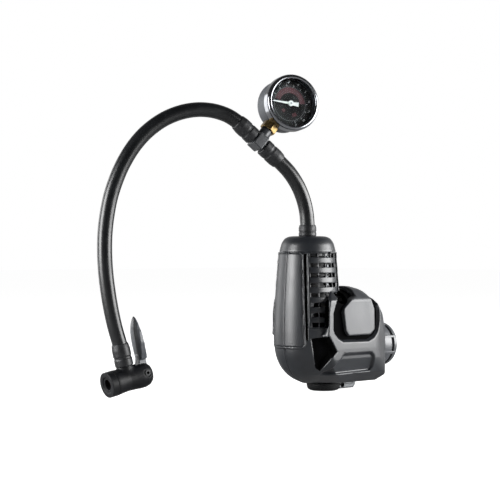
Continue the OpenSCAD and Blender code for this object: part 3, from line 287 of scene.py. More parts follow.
def contour(field, low, high, step):
    """Dual contouring: where the field changes sign along a grid edge a quad joins the four cells
    round it, and each cell's point is the one nearest to all the tangent planes in the cell."""
    axes = [np.arange(a, b + step, step) for a, b in zip(low, high)]
    full = tuple(len(a) for a in axes)
    f = np.broadcast_to(field(axes[0][:, None, None], axes[1][None, :, None],
                              axes[2][None, None, :]), full)
    inside = f < 0
    cells = tuple(n - 1 for n in full)
    total = cells[0] * cells[1] * cells[2]
    start = np.array([a[0] for a in axes])
    sums = np.zeros((13, total))
    quads = []
    for a in range(3):
        b, c = (a + 1) % 3, (a + 2) % 3
        head = [slice(None)] * 3
        tail = [slice(None)] * 3
        head[a], tail[a] = slice(None, -1), slice(1, None)
        at = np.argwhere(inside[tuple(head)] != inside[tuple(tail)])
        at = at[(at[:, b] > 0) & (at[:, c] > 0) & (at[:, b] < full[b] - 1)
                & (at[:, c] < full[c] - 1)]
        end = at.copy()
        end[:, a] += 1
        f0, f1 = f[tuple(at.T)], f[tuple(end.T)]
        p = start + at * step
        p[:, a] += step * f0 / (f0 - f1)
        spots = np.ascontiguousarray(p.T)
        nudges = np.eye(3)[:, :, None] * step * 0.05
        n = np.stack([field(*(spots + o)) - field(*(spots - o)) for o in nudges], 1)
        n /= np.linalg.norm(n, axis=1)[:, None] + 1e-12
        plane = np.sum(n * p, 1)
        rows = [n[:, i] * n[:, j] for i in range(3) for j in range(i, 3)]
        rows += [*(n * plane[:, None]).T, *spots, np.ones(len(p))]
        ids = []
        for db, dc in ((1, 1), (0, 1), (0, 0), (1, 0)):
            cell = at.copy()
            cell[:, b] -= db
            cell[:, c] -= dc
            flat = (cell[:, 0] * cells[1] + cell[:, 1]) * cells[2] + cell[:, 2]
            ids.append(flat)
            for k, row in enumerate(rows):
                sums[k] += np.bincount(flat, row, total)
        q = np.stack(ids, 1)
        quads.append(np.where((f0 < 0)[:, None], q, q[:, ::-1]))
    quads = np.vstack(quads)
    used = np.flatnonzero(sums[12] > 0)
    s = sums[:, used]
    mean = (s[9:12] / s[12]).T
    m = s[[0, 1, 2, 1, 3, 4, 2, 4, 5]].T.reshape(-1, 3, 3)
    rhs = s[6:9].T - np.einsum("nij,nj->ni", m, mean)
    shift = np.linalg.solve(m + np.eye(3) * 0.08, rhs[:, :, None])[:, :, 0]
    points = mean + np.clip(shift, -0.6 * step, 0.6 * step)
    lookup = np.zeros(total, np.int64)
    lookup[used] = np.arange(len(used))
    return points, lookup[quads]


# ---- housing's form

def mirrored(half, axis):
    """Corners of half an outline, then backwards the same with one coordinate negated."""
    flip = np.where(np.arange(2) == axis, -1.0, 1.0)
    return np.vstack([half, (np.asarray(half) * flip)[::-1]])


ROOT2 = math.sqrt(2)
TOWER_R, TOWER_TOP_R, TOWER_H = 25.1, 21.4, 106.0
BOWL_Z, BOWL_H, WAIST_Z = 36.0, 29.0, 46.0
ARC = 22.5 * math.pi / 180  # millimetres to a degree round the tower
SLOT_TOP, SLOT_PITCH, SLOT_ROWS = 103.5, 7.4, 8
BEAD_R, ROD_R = 0.6, 0.62
CHANNEL_D, TROUGH_D, POCKET_D, NOTCH_D, WALL = 3.2, 2.2, 5.1, 4.8, 2.5
TOWER_BLEND = 2.2
DRIVE_Z = 33.0  # height of the drive axis
# Each clamping screw's place along and up the side, and how deep its head is sunk
SCREWS = ((58.0, 57.0, 21.5), (56.0, 13.0, 20.0), (10.0, 13.0, 20.0), (-14.0, 30.0, 15.0))
SIDE = outline([(-4, 6), (58, 6), (62, 8.7), (69, 14.3), (71, 16), (71, 50), (69, 53), (63.5, 65),
                (57, 69), (51, 71.5), (43, 76), (32, 80), (4, 80), (-6.4, 70.5), (-8.4, 60),
                (-8.6, 46), (-10.6, 34), (-12, 14)], 1.6)
FRONT = outline(mirrored([(18, 6), (26, 14), (29.5, 25), (30, 33), (30, 69.5), (22, 76.8),
                          (14, 80)], 0), 2.6)
PLAN = outline(mirrored([(-12, 24.6), (-8.5, 30), (45, 30), (60, 26), (71, 20)], 1), 1.0)
FORE = outline([(-60, -8), (-2, -8), (-2, 5.5), (-10.5, 10.6), (-15.8, 14.2), (-19.3, 18.3),
                (-21.8, 22.2), (-23.9, 28.3), (-25.2, 36.6), (-60, 36.6)], 0.5)
AFT = outline([(-60, -8), (61.8, -8), (61.6, 40), (60.5, 50), (58.9, 58.2), (55, 65.9),
               (51.1, 69.7), (46.9, 72.3), (38.9, 77.9), (30.5, 80.5), (30.5, 95), (-60, 95)], 3.0)
CHANNEL = outline([(-3.3, 48), (-2, 44.5), (2.5, 40.5), (8, 38), (37, 37.5), (43.5, 40), (49, 44.5),
                   (51.5, 52), (51.5, 62), (48, 70), (45, 95), (14, 95), (13.8, 79), (7.5, 75),
                   (0.5, 69.5), (-3.3, 60)], 1.5)
RELIEF = outline([(-30, 43.5), (8, 43.5), (12, 45), (15, 51), (15.1, 55), (15.1, 68),
                  (15.3, 71.8), (16, 75.9), (18, 79.7), (24, 84), (24, 95), (-30, 95)], 0.6)
TROUGH = outline([(9, 29.8), (41, 29.8), (44.5, 26.5), (44.5, 18), (42, 14.6), (-5, 13.6),
                  (-5, 15.5)], 0.8)
NOTCH = outline([(1.4, 41.9), (15.7, 43.4), (21.8, 31.4), (8.4, 16.4), (4.6, 19.3)], 0.8)
STRAP = outline([(14, 43), (38.5, 43), (43.5, 46.5), (43.5, 62), (40, 69.5), (42, 95), (30, 95),
                 (24, 72.5), (17.5, 70.3), (8.6, 63.4), (8.3, 61), (10.6, 47)], 1.4)


def tower_radius(z):
    """Radius by height: constant to the waist, then drawn in by the height to the power 1.4."""
    t = np.clip((z - WAIST_Z) / (TOWER_H - WAIST_Z), 0, 1.05)
    return TOWER_R - (TOWER_R - TOWER_TOP_R) * t ** 1.4


def tower(x, y, z):
    """Distance to the tapered tower, with half an ellipsoid for its bottom."""
    r = np.hypot(x, y)
    dz = np.minimum(z - BOWL_Z, 0.0)
    k = np.sqrt((r / TOWER_R) ** 2 + (dz / BOWL_H) ** 2)
    slope = np.sqrt((r / TOWER_R ** 2) ** 2 + (dz / BOWL_H ** 2) ** 2) + 1e-9
    return np.where(z >= BOWL_Z, r - tower_radius(z), (k - 1) * k / slope)


def diagonal(x, y):
    """How far aft a place is along the diagonal of the seen corner, the same on both sides."""
    return (x + np.abs(y)) / ROOT2


def across(x, y):
    """Angle from the side's middle in degrees, forwards negative, the same on both sides."""
    return np.degrees(np.arctan2(x, np.abs(y)))


def tower_lines(x, y, z):
    """Distances along the surface from the bead round the front panel, from the bead round the
    vents, from the groove between them and from the vents' front edge. The lines lean back."""
    s, lean = across(x, y), (TOWER_H - z) / 60
    near = (s + 56.6 - 4.6 * lean) * ARC
    far = (-s - 48 + 3.6 * lean) * ARC
    panel = meet(3.0, near, 34.4 - z, z - 105.6)
    field = meet(3.0, far, (s - 52) * ARC, 48.7 - z, z - 105.5)
    groove = meet(0.3, 0.75 - near, 0.75 - far, 40 - z, z - 104.5)
    return panel, field, groove, far


def vented_tower(x, y, z, panel_proud, vent_recess):
    """The tower with its front panel stood off, and on each side a sunk field with a bead round it
    and rows of slots, with upright rods behind them."""
    t = tower(x, y, z)
    s = across(x, y)
    panel, field, groove, far = tower_lines(x, y, z)
    form = join(0.3, t, meet(0.4, t - panel_proud, panel + 1.0))
    form = cut(0.3, form, meet(0.3, field, -(t + vent_recess)))
    form = cut(0.3, form, meet(0.2, groove, -(t + 0.8)))
    row = np.clip(np.round((SLOT_TOP - z) / SLOT_PITCH), 0, SLOT_ROWS - 1)
    slot = meet(0.3, np.abs(z - SLOT_TOP + SLOT_PITCH * row) - 1.5, far + 2.2, (s - 46) * ARC,
                -(t + 7))
    form = cut(0.5, form, slot)
    rod = s + 7 - 18 * np.clip(np.round((s + 7) / 18), -1, 2)
    rod = meet(0, np.hypot(rod * ARC, t + vent_recess + 0.75) - ROD_R, 49 - z, z - 105)
    beads = [np.hypot(line, t - 0.1) - BEAD_R for line in (panel, field)]
    return join(0.15, form, rod, *beads)


def gearbox(x, y, z):
    """What the gearbox's side, front and plan outlines and its sloped corners have in common."""
    return meet(1.6, SIDE(x, z), FRONT(y, z), PLAN(x, y), AFT(diagonal(x, y), z),
                -FORE((x - np.abs(y)) / ROOT2, z))


def tapered(field, core, draft, floor, r=0.4):
    """A recess: drawn in with depth by the draft, down to where the floor's field begins."""
    return meet(r, field - draft * np.minimum(core, 0.0), -floor)


def housing_skin(x, y, z, panel_proud, vent_recess):
    """Tower and gearbox with their recesses, as one closed outside."""
    t, g = tower(x, y, z), gearbox(x, y, z)
    v = diagonal(x, y)
    core = join(TOWER_BLEND, t, g)
    low = cut(0.6, g, RELIEF(v, z))
    low = cut(0.4, low, tapered(CHANNEL(x, z), g, 0.7, g + CHANNEL_D))
    low = cut(0.4, low, tapered(np.hypot(x - 10.5, z - 74) - 7.6, g, 0.1, g + POCKET_D))
    form = join(1.2, vented_tower(x, y, z, panel_proud, vent_recess), low)
    side = 8 - np.abs(y)
    floor = join(1.5, t + 1.5, g + NOTCH_D)
    trough = tapered(meet(0, TROUGH(x, z), side), core, 0.7, core + TROUGH_D)
    notch = tapered(meet(0, NOTCH(v, z), side), core, 0.75, floor)
    return meet(0.2, cut(0.45, form, trough, notch), z - TOWER_H)


def sunk_faces(points):
    """Which faces of the housing carry the painted shade: its inside, its deep recesses and the
    groove beside the front panel, by the depth under the tower and the gearbox."""
    x, y, z = points.T
    t, g = tower(x, y, z), gearbox(x, y, z)
    notch = NOTCH(diagonal(x, y), z)
    groove = tower_lines(x, y, z)[2]
    return (((notch < 0.3) & (join(TOWER_BLEND, t, g) < -0.6) & (z < 50))
            | ((t < -1.9) & (g < -1)) | ((t < -1.6) & (z > 46))
            | ((g < -2.75) & (notch > 0.2)) | ((groove < 0.1) & (t < -0.3)))


def housing(x, y, z, side, panel_proud, vent_recess):
    """One half of the clamshell: the skin less its hollow, with bosses and bores."""
    form = housing_skin(x, y, z, panel_proud, vent_recess)
    hollow = np.minimum(np.maximum(tower(x, y, z) + WALL, z - 120),
                        gearbox(x, y, z) + CHANNEL_D + WALL - 0.3)
    form = cut(0.2, form, hollow)
    ring = np.hypot(y, z - DRIVE_Z)
    form = np.minimum(form, meet(0, ring - 14, 58 - x, x - 70))
    core = np.minimum(tower(x, y, z), gearbox(x, y, z) + CHANNEL_D)
    for sx, sz, reach in SCREWS:
        d = np.hypot(x - sx, z - sz)
        form = np.minimum(form, meet(0, d - 4.4, np.abs(y) - reach - 3, core))
        form = cut(0, form, meet(0, d - 1.45, np.abs(y) - reach))
        form = cut(0.3, form, meet(0, d - 3.0, reach - y))
    form = np.minimum(form, box(x, y, z, (36.3, -8, 7), (51.3, 8, 15)))
    key_slot = box(x, y, z, (38.8, -4.05, 0), (48.8, 4.05, 12.2))
    foot_stem = meet(0, np.hypot(x - 18, y) - 5.05, z - 9.7)
    shaft_bore = meet(0, ring - 8.5, 50 - x)
    bearing_seat = meet(0, ring - 11, 60 - x, x - 67)
    form = cut(0, form, key_slot, foot_stem, shaft_bore, bearing_seat)
    return meet(0.22, form, 0.06 - side * y)


def strap(x, y, z):
    """Saddle strap: the layer between the channel's floor and just proud of the gearbox."""
    g = gearbox(x, y, z)
    form = meet(0.9, STRAP(x, z), g - 0.55)
    form = cut(0.3, form, g + CHANNEL_D)
    form = cut(0.5, form, tower(x, y, z) - 0.3)
    return form


def collar(x, y, z):
    """Coupling collar: a drum and a flange on a narrower core, eight ribs, and the open socket."""
    r = np.hypot(y, z - DRIVE_Z)
    drum = meet(0.5, r - 17, 71.1 - x, x - 80)
    flange = meet(0.6, r - 17, 82.5 - x, x - 86)
    form = join(0.5, meet(0, r - 14.5, 71.1 - x, x - 85.9), drum, flange)
    a = np.arctan2(z - DRIVE_Z, y)
    pitch = TAU / 8
    near = (a / pitch - np.round(a / pitch - 0.5) - 0.5) * pitch
    rib = meet(0.4, np.abs(near) * r - 1.1, r - 17.25, 72 - x, x - 85.2)
    form = join(0.3, form, rib)
    form = cut(0.5, form, meet(0, r - 13, 74 - x))
    form = cut(0.3, form, r - 8.5)
    holes = [np.hypot(y - 10.9 * math.cos(k), z - DRIVE_Z - 10.9 * math.sin(k)) - 1.1
             for k in np.arange(4) * TAU / 4 + TAU / 8]
    return cut(0, form, *holes)


def lock_key(x, y, z):
    """Stamped key: a rounded bar with a cross hole, and a stem up into the housing."""
    bar = meet(1.0, outline([(31.4, 0.4), (48.5, 0.4), (51, 2.9), (51, 6), (31.4, 6)], 0.8)(x, z),
               np.abs(y) - 4)
    bar = join(0.3, bar, box(x, y, z, (38.8, -4, 4), (48.8, 4, 12)))
    bar = cut(0.35, bar, np.hypot(x - 35.4, z - 3.2) - 2.0)
    return cut(0, bar, np.hypot(x - 43.8, z - 9.6) - 1.5)


# ---- chuck's form

CHUCK_PROFILE = outline([(-19.5, -9), (-19.2, 4.9), (-18.2, 7.1), (-16.1, 8.6), (-13, 9.35),
                         (-9, 9.35), (-4, 8.85), (1, 8.55), (6, 8.85), (10.5, 9.35), (12.4, 9.35),
                         (12.4, -9)], 0.5)
BLADE_SIDE = outline([(-17.4, 11.75), (-16.6, 19), (-15.9, 28), (-15.9, 36), (-16.8, 43.4),
                      (-15.6, 43.4), (-14.0, 36), (-13.2, 28), (-12.8, 20), (-12.4, 11.75)], 0.3)
BLADE_FACE = outline([(-4.6, 11), (-6, 16), (-7.2, 24), (-6.8, 31.75), (-4.6, 38), (-2, 42),
                      (0, 43.4), (2, 42), (4.6, 38), (6.6, 31.75), (7, 24), (5.8, 16),
                      (4.6, 11)], 1.2)


PIN_X, PIN_Z, PORT_R = -13.0, 1.5, 3.95  # the lever's pin, and the radius of the valve port


def chuck_body(x, y, z):
    """Waisted barrel along X joined to its neck, with the lever's slot, the pin's hole and bores."""
    r = np.hypot(y, z)
    form = join(1.6, CHUCK_PROFILE(x, r), meet(0.2, np.hypot(x, y) - 6.1, -z, z - 10))
    form = cut(0.5, form, box(x, y, z, (-25, -3.3, -6), (-5.3, 3.3, 25), 0.4))
    pin = np.hypot(x - PIN_X, z - PIN_Z)
    form = cut(0.35, form, meet(0, pin - 3.0, 8.35 - np.abs(y)))
    seal_seat, nose_seat = meet(0, r - 6.5, 3.5 - x), meet(0, r - 8.0, 8.8 - x)
    air_way = meet(0, np.hypot(x, y) - 1.5, -z)
    return cut(0, form, pin - 2.1, r - 3.4, seal_seat, nose_seat, air_way)


def chuck_lever(x, y, z):
    """Leaf-shaped blade on a narrow root, whose end is a cam that falls away over a quarter turn."""
    pin = np.hypot(x - PIN_X, z - PIN_Z)
    a = np.degrees(np.arctan2(-(z - PIN_Z), x - PIN_X))
    radius = 6 - 2 * np.clip(a, 0, 90) / 90
    radius = np.where((a > 90) | (a < -120), 4.0, radius)
    root = outline([(-17, 1.5), (-17.4, 14.75), (-12.4, 14.75), (-9, 4.5), (-9, 1.5)], 0.4)(x, z)
    low = meet(0.35, np.minimum(pin - radius, root), np.abs(y) - 3)
    blade = meet(0.35, BLADE_SIDE(x + 0.16 * np.abs(y - 1) - 0.5, z), BLADE_FACE(y, z))
    return cut(0, join(1.0, low, blade), pin - 2.13)


def nose_nut(x, y, z):
    """Knurled end ring round the valve port, with its inner skirt."""
    r = np.hypot(y, z)
    form = meet(0.15, r - 9.35, 12.42 - x, x - 17.5)
    form = cut(0.5, form, meet(0, r - 5.9, 16.7 - x))
    form = np.minimum(form, meet(0, r - 8, 6.6 - r, 8.9 - x, x - 12.6))
    return cut(0.25, form, r - PORT_R)


def tee_block(x, y, z):
    """Machined block with two necks, a stem, and the passages through them."""
    form = meet(0.7, np.abs(x) - 4.1, np.abs(y) - 6.5, np.abs(z) - 5.5)
    r, rise = np.hypot(y, z), np.hypot(x, y)
    neck = np.minimum(meet(0, r - 5, np.abs(x) - 5.5), meet(0, r - 3, np.abs(x) - 9))
    form = join(0.4, form, neck, meet(0.3, rise - 4.6, -z, z - 11.5))
    return cut(0, form, r - 1.5, meet(0, rise - 3.2, 6.5 - z))


def gauge_socket(x, y, z):
    """Brass socket: threaded end, hexagon with chamfered corners, neck and square block."""
    r = np.hypot(x, y)
    a = np.arctan2(y, x)
    near = a - np.round(a / (TAU / 6)) * (TAU / 6)
    hexagon = meet(0.15, r * np.cos(near) - 5.5, 11.55 - z, z - 17.5,
                   r + 0.6 * np.abs(z - 14.5) - 7.7)
    thread = meet(0, r - 3.2, 6.6 - z, z - 12)
    neck = meet(0, r - 4, 12 - z, z - 22.5)
    block = box(x, y, z, (-4, -9, 21.5), (4, 1, 29.5), 0.3)
    return cut(0, join(0.2, hexagon, thread, neck, block), r - 1.2)


# ---- materials

def linear(code):
    """sRGB hex to a linear colour: the standard curve, channel by channel."""
    c = np.array([int(code[i:i + 2], 16) for i in (1, 3, 5)]) / 255
    c = np.where(c <= 0.04045, c / 12.92, ((c + 0.055) / 1.055) ** 2.4)
    return (*[float(v) for v in c], 1.0)


def add(tree, kind, settings=None, links=None):
    """One shader node with its settings and its links: a setting names an attribute or input."""
    node = tree.nodes.new("ShaderNode" + kind)
    for key, value in (settings or {}).items():
        if hasattr(node, str(key)) and not isinstance(key, int):
            setattr(node, key, value)
        else:
            node.inputs[key].default_value = value
    for key, socket in (links or {}).items():
        tree.links.new(socket, node.inputs[key])
    return node


def finish(name, base, worn, rough, grain, relief, blotch, metallic=0.0, scratch=0.0,
           specular=0.5, stretch=(1, 1, 1), shader=None):
    """Material built from a real surface: base and worn are sRGB colours, rough the two ends of
    its roughness, grain its texture and blotch its unevenness in millimetres, relief the depth of
    the texture in millimetres."""
    mat = bpy.data.materials.new(name)
    mat.use_nodes = True
    tree = mat.node_tree
    tree.nodes.clear()
    where = add(tree, "TexCoord").outputs["Object"]
    run = add(tree, "Mapping", {"Scale": stretch}, {"Vector": where}).outputs[0]
    fine = add(tree, "TexNoise", {"Scale": 1000 / grain, "Detail": 2.0, "Roughness": 0.6},
               {"Vector": run}).outputs["Fac"]
    broad = add(tree, "TexNoise", {"Scale": 1000 / blotch, "Detail": 4.0,
                                             "Roughness": 0.55}, {"Vector": where}).outputs["Fac"]
    spread = add(tree, "MapRange", {1: 0.35, 2: 0.68, 3: 0.0, 4: 1.0},
                 {0: broad}).outputs[0]
    both = add(tree, "Math", {"operation": "MULTIPLY_ADD", 1: 0.35, 2: -0.17},
               {0: fine}).outputs[0]
    mixing = add(tree, "Math", {"operation": "ADD", "use_clamp": True},
                 {0: spread, 1: both}).outputs[0]
    colour = add(tree, "Mix", {"data_type": "RGBA", 6: linear(base), 7: linear(worn)},
                 {0: mixing}).outputs[2]
    gloss = add(tree, "MapRange", {1: 0.0, 2: 1.0, 3: rough[0], 4: rough[1]},
                {0: mixing}).outputs[0]
    height = fine
    if scratch:
        lines = add(tree, "TexNoise", {"Scale": 260.0, "Detail": 1.0},
                    {"Vector": add(tree, "Mapping", {"Scale": (1, 14, 1),
                                                               "Rotation": (0.4, 0.2, 0.7)},
                                   {"Vector": where}).outputs[0]}).outputs["Fac"]
        thin = add(tree, "MapRange", {1: 0.66, 2: 0.72, 3: 0.0, 4: scratch},
                   {0: lines}).outputs[0]
        gloss = add(tree, "Math", {"operation": "ADD", "use_clamp": True},
                    {0: gloss, 1: thin}).outputs[0]
        height = add(tree, "Math", {"operation": "SUBTRACT"},
                     {0: fine, 1: thin}).outputs[0]
    bump = add(tree, "Bump", {"Strength": 0.5, "Distance": relief * MM},
               {"Height": height}).outputs[0]
    settings = {"Metallic": metallic, "Specular IOR Level": specular, **(shader or {})}
    bsdf = add(tree, "BsdfPrincipled", settings,
               {"Base Color": colour, "Roughness": gloss, "Normal": bump})
    add(tree, "OutputMaterial", None, {"Surface": bsdf.outputs[0]})
    return mat


@functools.lru_cache(maxsize=None)
def material(name):
    """The finish of each surface, named for what it is and how it was made, or for the painted shade
    it stands for: its two colours, roughness, grain, relief and blotch, and what else it has."""
    c = colours()
    made = {
        # Glass-filled nylon, moulded in a spark-eroded tool: an even satin with a 0.4 mm grain
        "nylon_moulded_satin": (c.shell, "#1C1F23", (0.33, 0.42), 0.45, 0.03, 18,
            {"scratch": 0.06}),
        # The same moulding turned near black and nearly without gloss, as painted shade in its deep
        # recesses, the groove beside the front panel and its inside
        "nylon_painted_shade_black": ("#030303", "#050506", (0.8, 0.9), 0.8, 0.06, 10,
            {"specular": 0.02}),
        # The strap's plate is smoother and a little lighter, as an over-moulded grip is
        "grip_moulded_soft": (c.plate, "#383A3D", (0.4, 0.5), 0.6, 0.03, 16, {}),
        # The collar's nylon is a paler grey, with the same satin
        "nylon_moulded_collar": ("#404245", "#4A4C4F", (0.34, 0.44), 0.5, 0.03, 12,
            {"scratch": 0.08}),
        # Foot of moulded rubber: matt, with the bloom that rubber draws in air
        "rubber_moulded_matt": ("#08090A", "#0E0F10", (0.6, 0.75), 0.7, 0.05, 9,
            {"specular": 0.2}),
        # Hose cover: extruded and ground rubber, semi-gloss, with fine lines along it
        "rubber_extruded_hose": (c.hose, "#0E1012", (0.27, 0.36), 0.5, 0.03, 20,
            {"scratch": 0.05, "specular": 0.4}),
        # Steel blackened in hot oxide and crimped: dark, with a dull sheen
        "steel_blackened_ferrule": ("#101113", "#18191C", (0.42, 0.52), 0.5, 0.015, 6,
            {"metallic": 0.3, "scratch": 0.1}),
        # Cast alloy under black powder coat: deep black with little shine
        "alloy_cast_black": ("#090A0C", "#101114", (0.42, 0.52), 0.5, 0.02, 10,
            {"scratch": 0.08, "specular": 0.2}),
        # Machined brass under a black coat: dark grey with soft edges
        "brass_black_coated": ("#26282B", "#333538", (0.34, 0.44), 0.4, 0.012, 7,
            {"metallic": 0.2, "scratch": 0.1}),
        # Lever moulded in a polished tool: grey, smoother than the housing
        "lever_moulded": ("#3E4146", "#484B50", (0.3, 0.4), 0.5, 0.02, 12, {"scratch": 0.06}),
        # Gauge case: enamel stoved on pressed steel, with slight orange peel
        "steel_stoved_enamel": (c.enamel, "#3A3D42", (0.5, 0.6), 1.4, 0.012, 16,
            {"scratch": 0.05}),
        # Bezel: nickel and chrome over a spun steel ring, nearly a mirror
        "steel_chrome_plated": ("#84868A", "#74767A", (0.1, 0.18), 0.8, 0.002, 8,
            {"metallic": 1.0, "scratch": 0.1}),
        # Bare machined brass, gone a little brown
        "brass_machined": ("#9C855C", "#80693F", (0.26, 0.4), 0.5, 0.006, 5,
            {"metallic": 1.0, "scratch": 0.12}),
        # Steel stamped, tumbled and zinc plated: an even dull grey
        "steel_stamped_zinc": ("#606264", "#525456", (0.38, 0.5), 0.5, 0.02, 5,
            {"metallic": 0.7, "scratch": 0.14}),
        # Ground steel: bright, its lines running along one axis
        "steel_ground": ("#A8AAAD", "#949699", (0.2, 0.32), 0.3, 0.006, 6,
            {"metallic": 1.0, "scratch": 0.08, "stretch": (0.2, 1, 1)}),
        # Sintered steel: dull and slightly open in grain
        "steel_sintered": ("#6E6C68", "#7C7A76", (0.42, 0.58), 0.3, 0.02, 5, {"metallic": 0.9}),
        # Die-cast aluminium as it leaves the tool: pale and matt
        "aluminium_die_cast": ("#8C8E91", "#9B9DA0", (0.4, 0.55), 0.6, 0.03, 8, {"metallic": 0.9}),
        # The same casting turned near black as painted shade, so that it stays dark behind the vents
        "die_cast_painted_shade": ("#101112", "#191A1B", (0.6, 0.75), 0.6, 0.03, 8, {"metallic": 0.1}),
        # Screws: cold-headed steel, zinc plated
        "screw_steel_zinc": ("#606264", "#737577", (0.3, 0.42), 0.3, 0.01, 3, {"metallic": 0.9}),
        # Gasket of pressed fibre: brown and dry
        "fibre_pressed": ("#6B4B30", "#7E5B3C", (0.7, 0.85), 0.4, 0.03, 3, {}),
        # Cup seal of moulded PTFE: ivory, waxy
        "ptfe_moulded": ("#DCD6C6", "#CFC8B6", (0.35, 0.5), 0.5, 0.008, 6, {}),
        # Valve disc of moulded acetal: smooth orange
        "acetal_orange": ("#B8702E", "#A46226", (0.3, 0.42), 0.4, 0.006, 4, {}),
        # Moulded seal of dark red rubber
        "rubber_seal_red": ("#3A1E1A", "#4A2822", (0.5, 0.65), 0.4, 0.02, 4, {}),
        # Dial: four inks screen-printed on sheet, all nearly matt
        "dial_printed_black": ("#08090A", "#0C0D0E", (0.55, 0.68), 0.3, 0.004, 9,
            {"specular": 0.25}),
        "dial_printed_red": (c.red, "#4A121B", (0.5, 0.62), 0.3, 0.004, 5, {}),
        "dial_printed_grey": ("#5E6063", "#6A6C6E", (0.5, 0.62), 0.3, 0.004, 5, {}),
        "dial_printed_white": ("#C9CBCC", "#B8BABB", (0.5, 0.62), 0.3, 0.004, 5, {}),
        # Pointer: white enamel on stamped brass
        "pointer_enamel_white": ("#EDEDEA", "#E2E2DE", (0.35, 0.45), 0.5, 0.004, 5, {}),
        # Gauge glass: clear, with faint wiping marks in its gloss
        "glass_lens": ("#F6F9FA", "#EEF3F4", (0.0, 0.03), 2.0, 0.0005, 14,
            {"specular": 0.6, "shader": {"Transmission Weight": 1.0, "IOR": 1.12}}),
    }
    *row, more = made[name]
    return finish(name, *row, **more)


# ---- operators

def contoured(name, form, low, high, step, mat, body="housing", nodes=(), slot=None,
              at=FOOT, matrix=STRAIGHT):
    """A piece contoured from a field in its own millimetres and put in place."""
    points, quads = contour(form, low, high, step)
    return put(name, placed(points, at, matrix), quads, material(mat), body, nodes)


def turned(name, profile, sides, mat, node, slot, at=FOOT, matrix=STRAIGHT, axis="z",
           closed=True, ripple=None):
    """A piece carried round its axis from a profile and put in place."""
    points, faces = lathe(profile, sides, axis, closed, ripple)
    return put(name, placed(points, at, matrix), faces, material(mat), nodes=[node])


class INFLATOR_OT_shells(bpy.types.Operator):
    """Moulded halves of the housing"""
    bl_idname = "inflator.shells"
    bl_label = "Housing shells"

    def execute(self, context):
        s = sizes()
        step = s.shell_grid / MM
        for side, name in ((-1, "left"), (1, "right")):
            low = (-27.5, -32.0 if side < 0 else -1.2, 4.4)
            high = (73.0, 1.2 if side < 0 else 32.0, 107.5)
            form = functools.partial(housing, side=side, panel_proud=s.panel_proud / MM,
                                     vent_recess=s.vent_recess / MM)
            points, quads = contour(form, low, high, step)
            piece = put(f"shell_{name}", placed(points), quads, material("nylon_moulded_satin"),
                        nodes=[f"housing_{name}"])
            # Painted shade: a near-black second material on the faces inside, in the deep recesses
            # and in the groove
            piece.data.materials.append(material("nylon_painted_shade_black"))
            piece.data.polygons.foreach_set("material_index",
                                            sunk_faces(points[quads].mean(1)).astype(np.int32))
        return {"FINISHED"}


class INFLATOR_OT_strap(bpy.types.Operator):
    """Saddle strap, collar, foot, lock key and cap of the housing"""
    bl_idname = "inflator.housing_parts"
    bl_label = "Strap, collar, foot, key and cap"

    def execute(self, context):
        contoured("strap_plate", strap, (4, -32.5, 39), (56, 32.5, 83), 0.6,
                  "grip_moulded_soft", nodes=["saddle_strap"], slot="strap_shell")
        contoured("collar_ring", collar, (70, -18.5, 14), (87.5, 18.5, 52), 0.45,
                  "nylon_moulded_collar", nodes=["coupling_collar"], slot="collar_plastic")
        contoured("key_bar", lock_key, (30, -5.5, -1), (52.5, 5.5, 13.5), 0.36,
                  "steel_stamped_zinc", nodes=["lock_key"], slot="key_steel")
        foot = soften([(0.01, 0), (9.5, 0), (11.4, 0.7), (12.5, 2.2), (13, 4), (13, 6), (5, 6),
                       (5, 9.5), (0.01, 9.5)], [0, 0.6, 0.8, 0.6, 0.6, 0.4, 0.2, 0.3, 0])
        turned("foot_rubber", foot, 96, "rubber_moulded_matt", "foot_cup", "foot_rubber",
               at=np.array([18, 0, 0]), closed=False)
        cap = soften([(3.2, 12), (3.2, 9.5), (13.3, 9.5), (17.1, 6.6), (17.8, 1), (17.8, -3),
                      (18.8, -3), (18.8, 0.12), (21.3, 0.12), (21.2, 1.2), (19.8, 6.6),
                      (17.6, 10), (14.6, 11.6), (11, 12)],
                     [0.4, 0.3, 0.8, 0.8, 0.5, 0.3, 0.3, 0.2, 0.35, 1.0, 1.6, 1.8, 1.4, 1.2], 5)
        turned("cap_dome", cap, 128, "nylon_moulded_satin", "top_cap", "housing_shell",
               at=np.array([0, 0, TOWER_H]))
        return {"FINISHED"}


HOSE_SIDES = 40
ON_HOSE_END = ["chuck_ferrule", "chuck_body", "chuck_seal", "nose_nut", "lever_pin",
               "chuck_lever", "chuck_plunger", "depressor_pin"]
# Points of each hose's middle line in the hose's own plane: outwards and up, from the tower
LOWER_ROUTE = [
    (0, 118.5), (0, 122), (0, 125.5), (1, 136.4), (3.8, 147), (8.4, 157), (14.7, 166),
    (21.7, 173), (27.4, 178), (33.1, 182.9)]
UPPER_ROUTE = [
    (46.7, 194.7), (51.6, 199), (56.5, 203.2), (62.5, 206.9), (69, 209.4), (77, 211.1),
    (86, 211.5), (95, 210.4), (104, 207.9), (113, 203.9), (121.5, 198.4), (130, 191),
    (138, 181.3), (145, 169.7), (150, 158.5), (154, 146.5), (156.6, 134), (158.2, 121),
    (158.6, 108), (158, 94), (156.4, 80), (154.1, 66), (151, 52), (147.3, 39.3),
    (145.9, 33), (144.5, 26.6)]


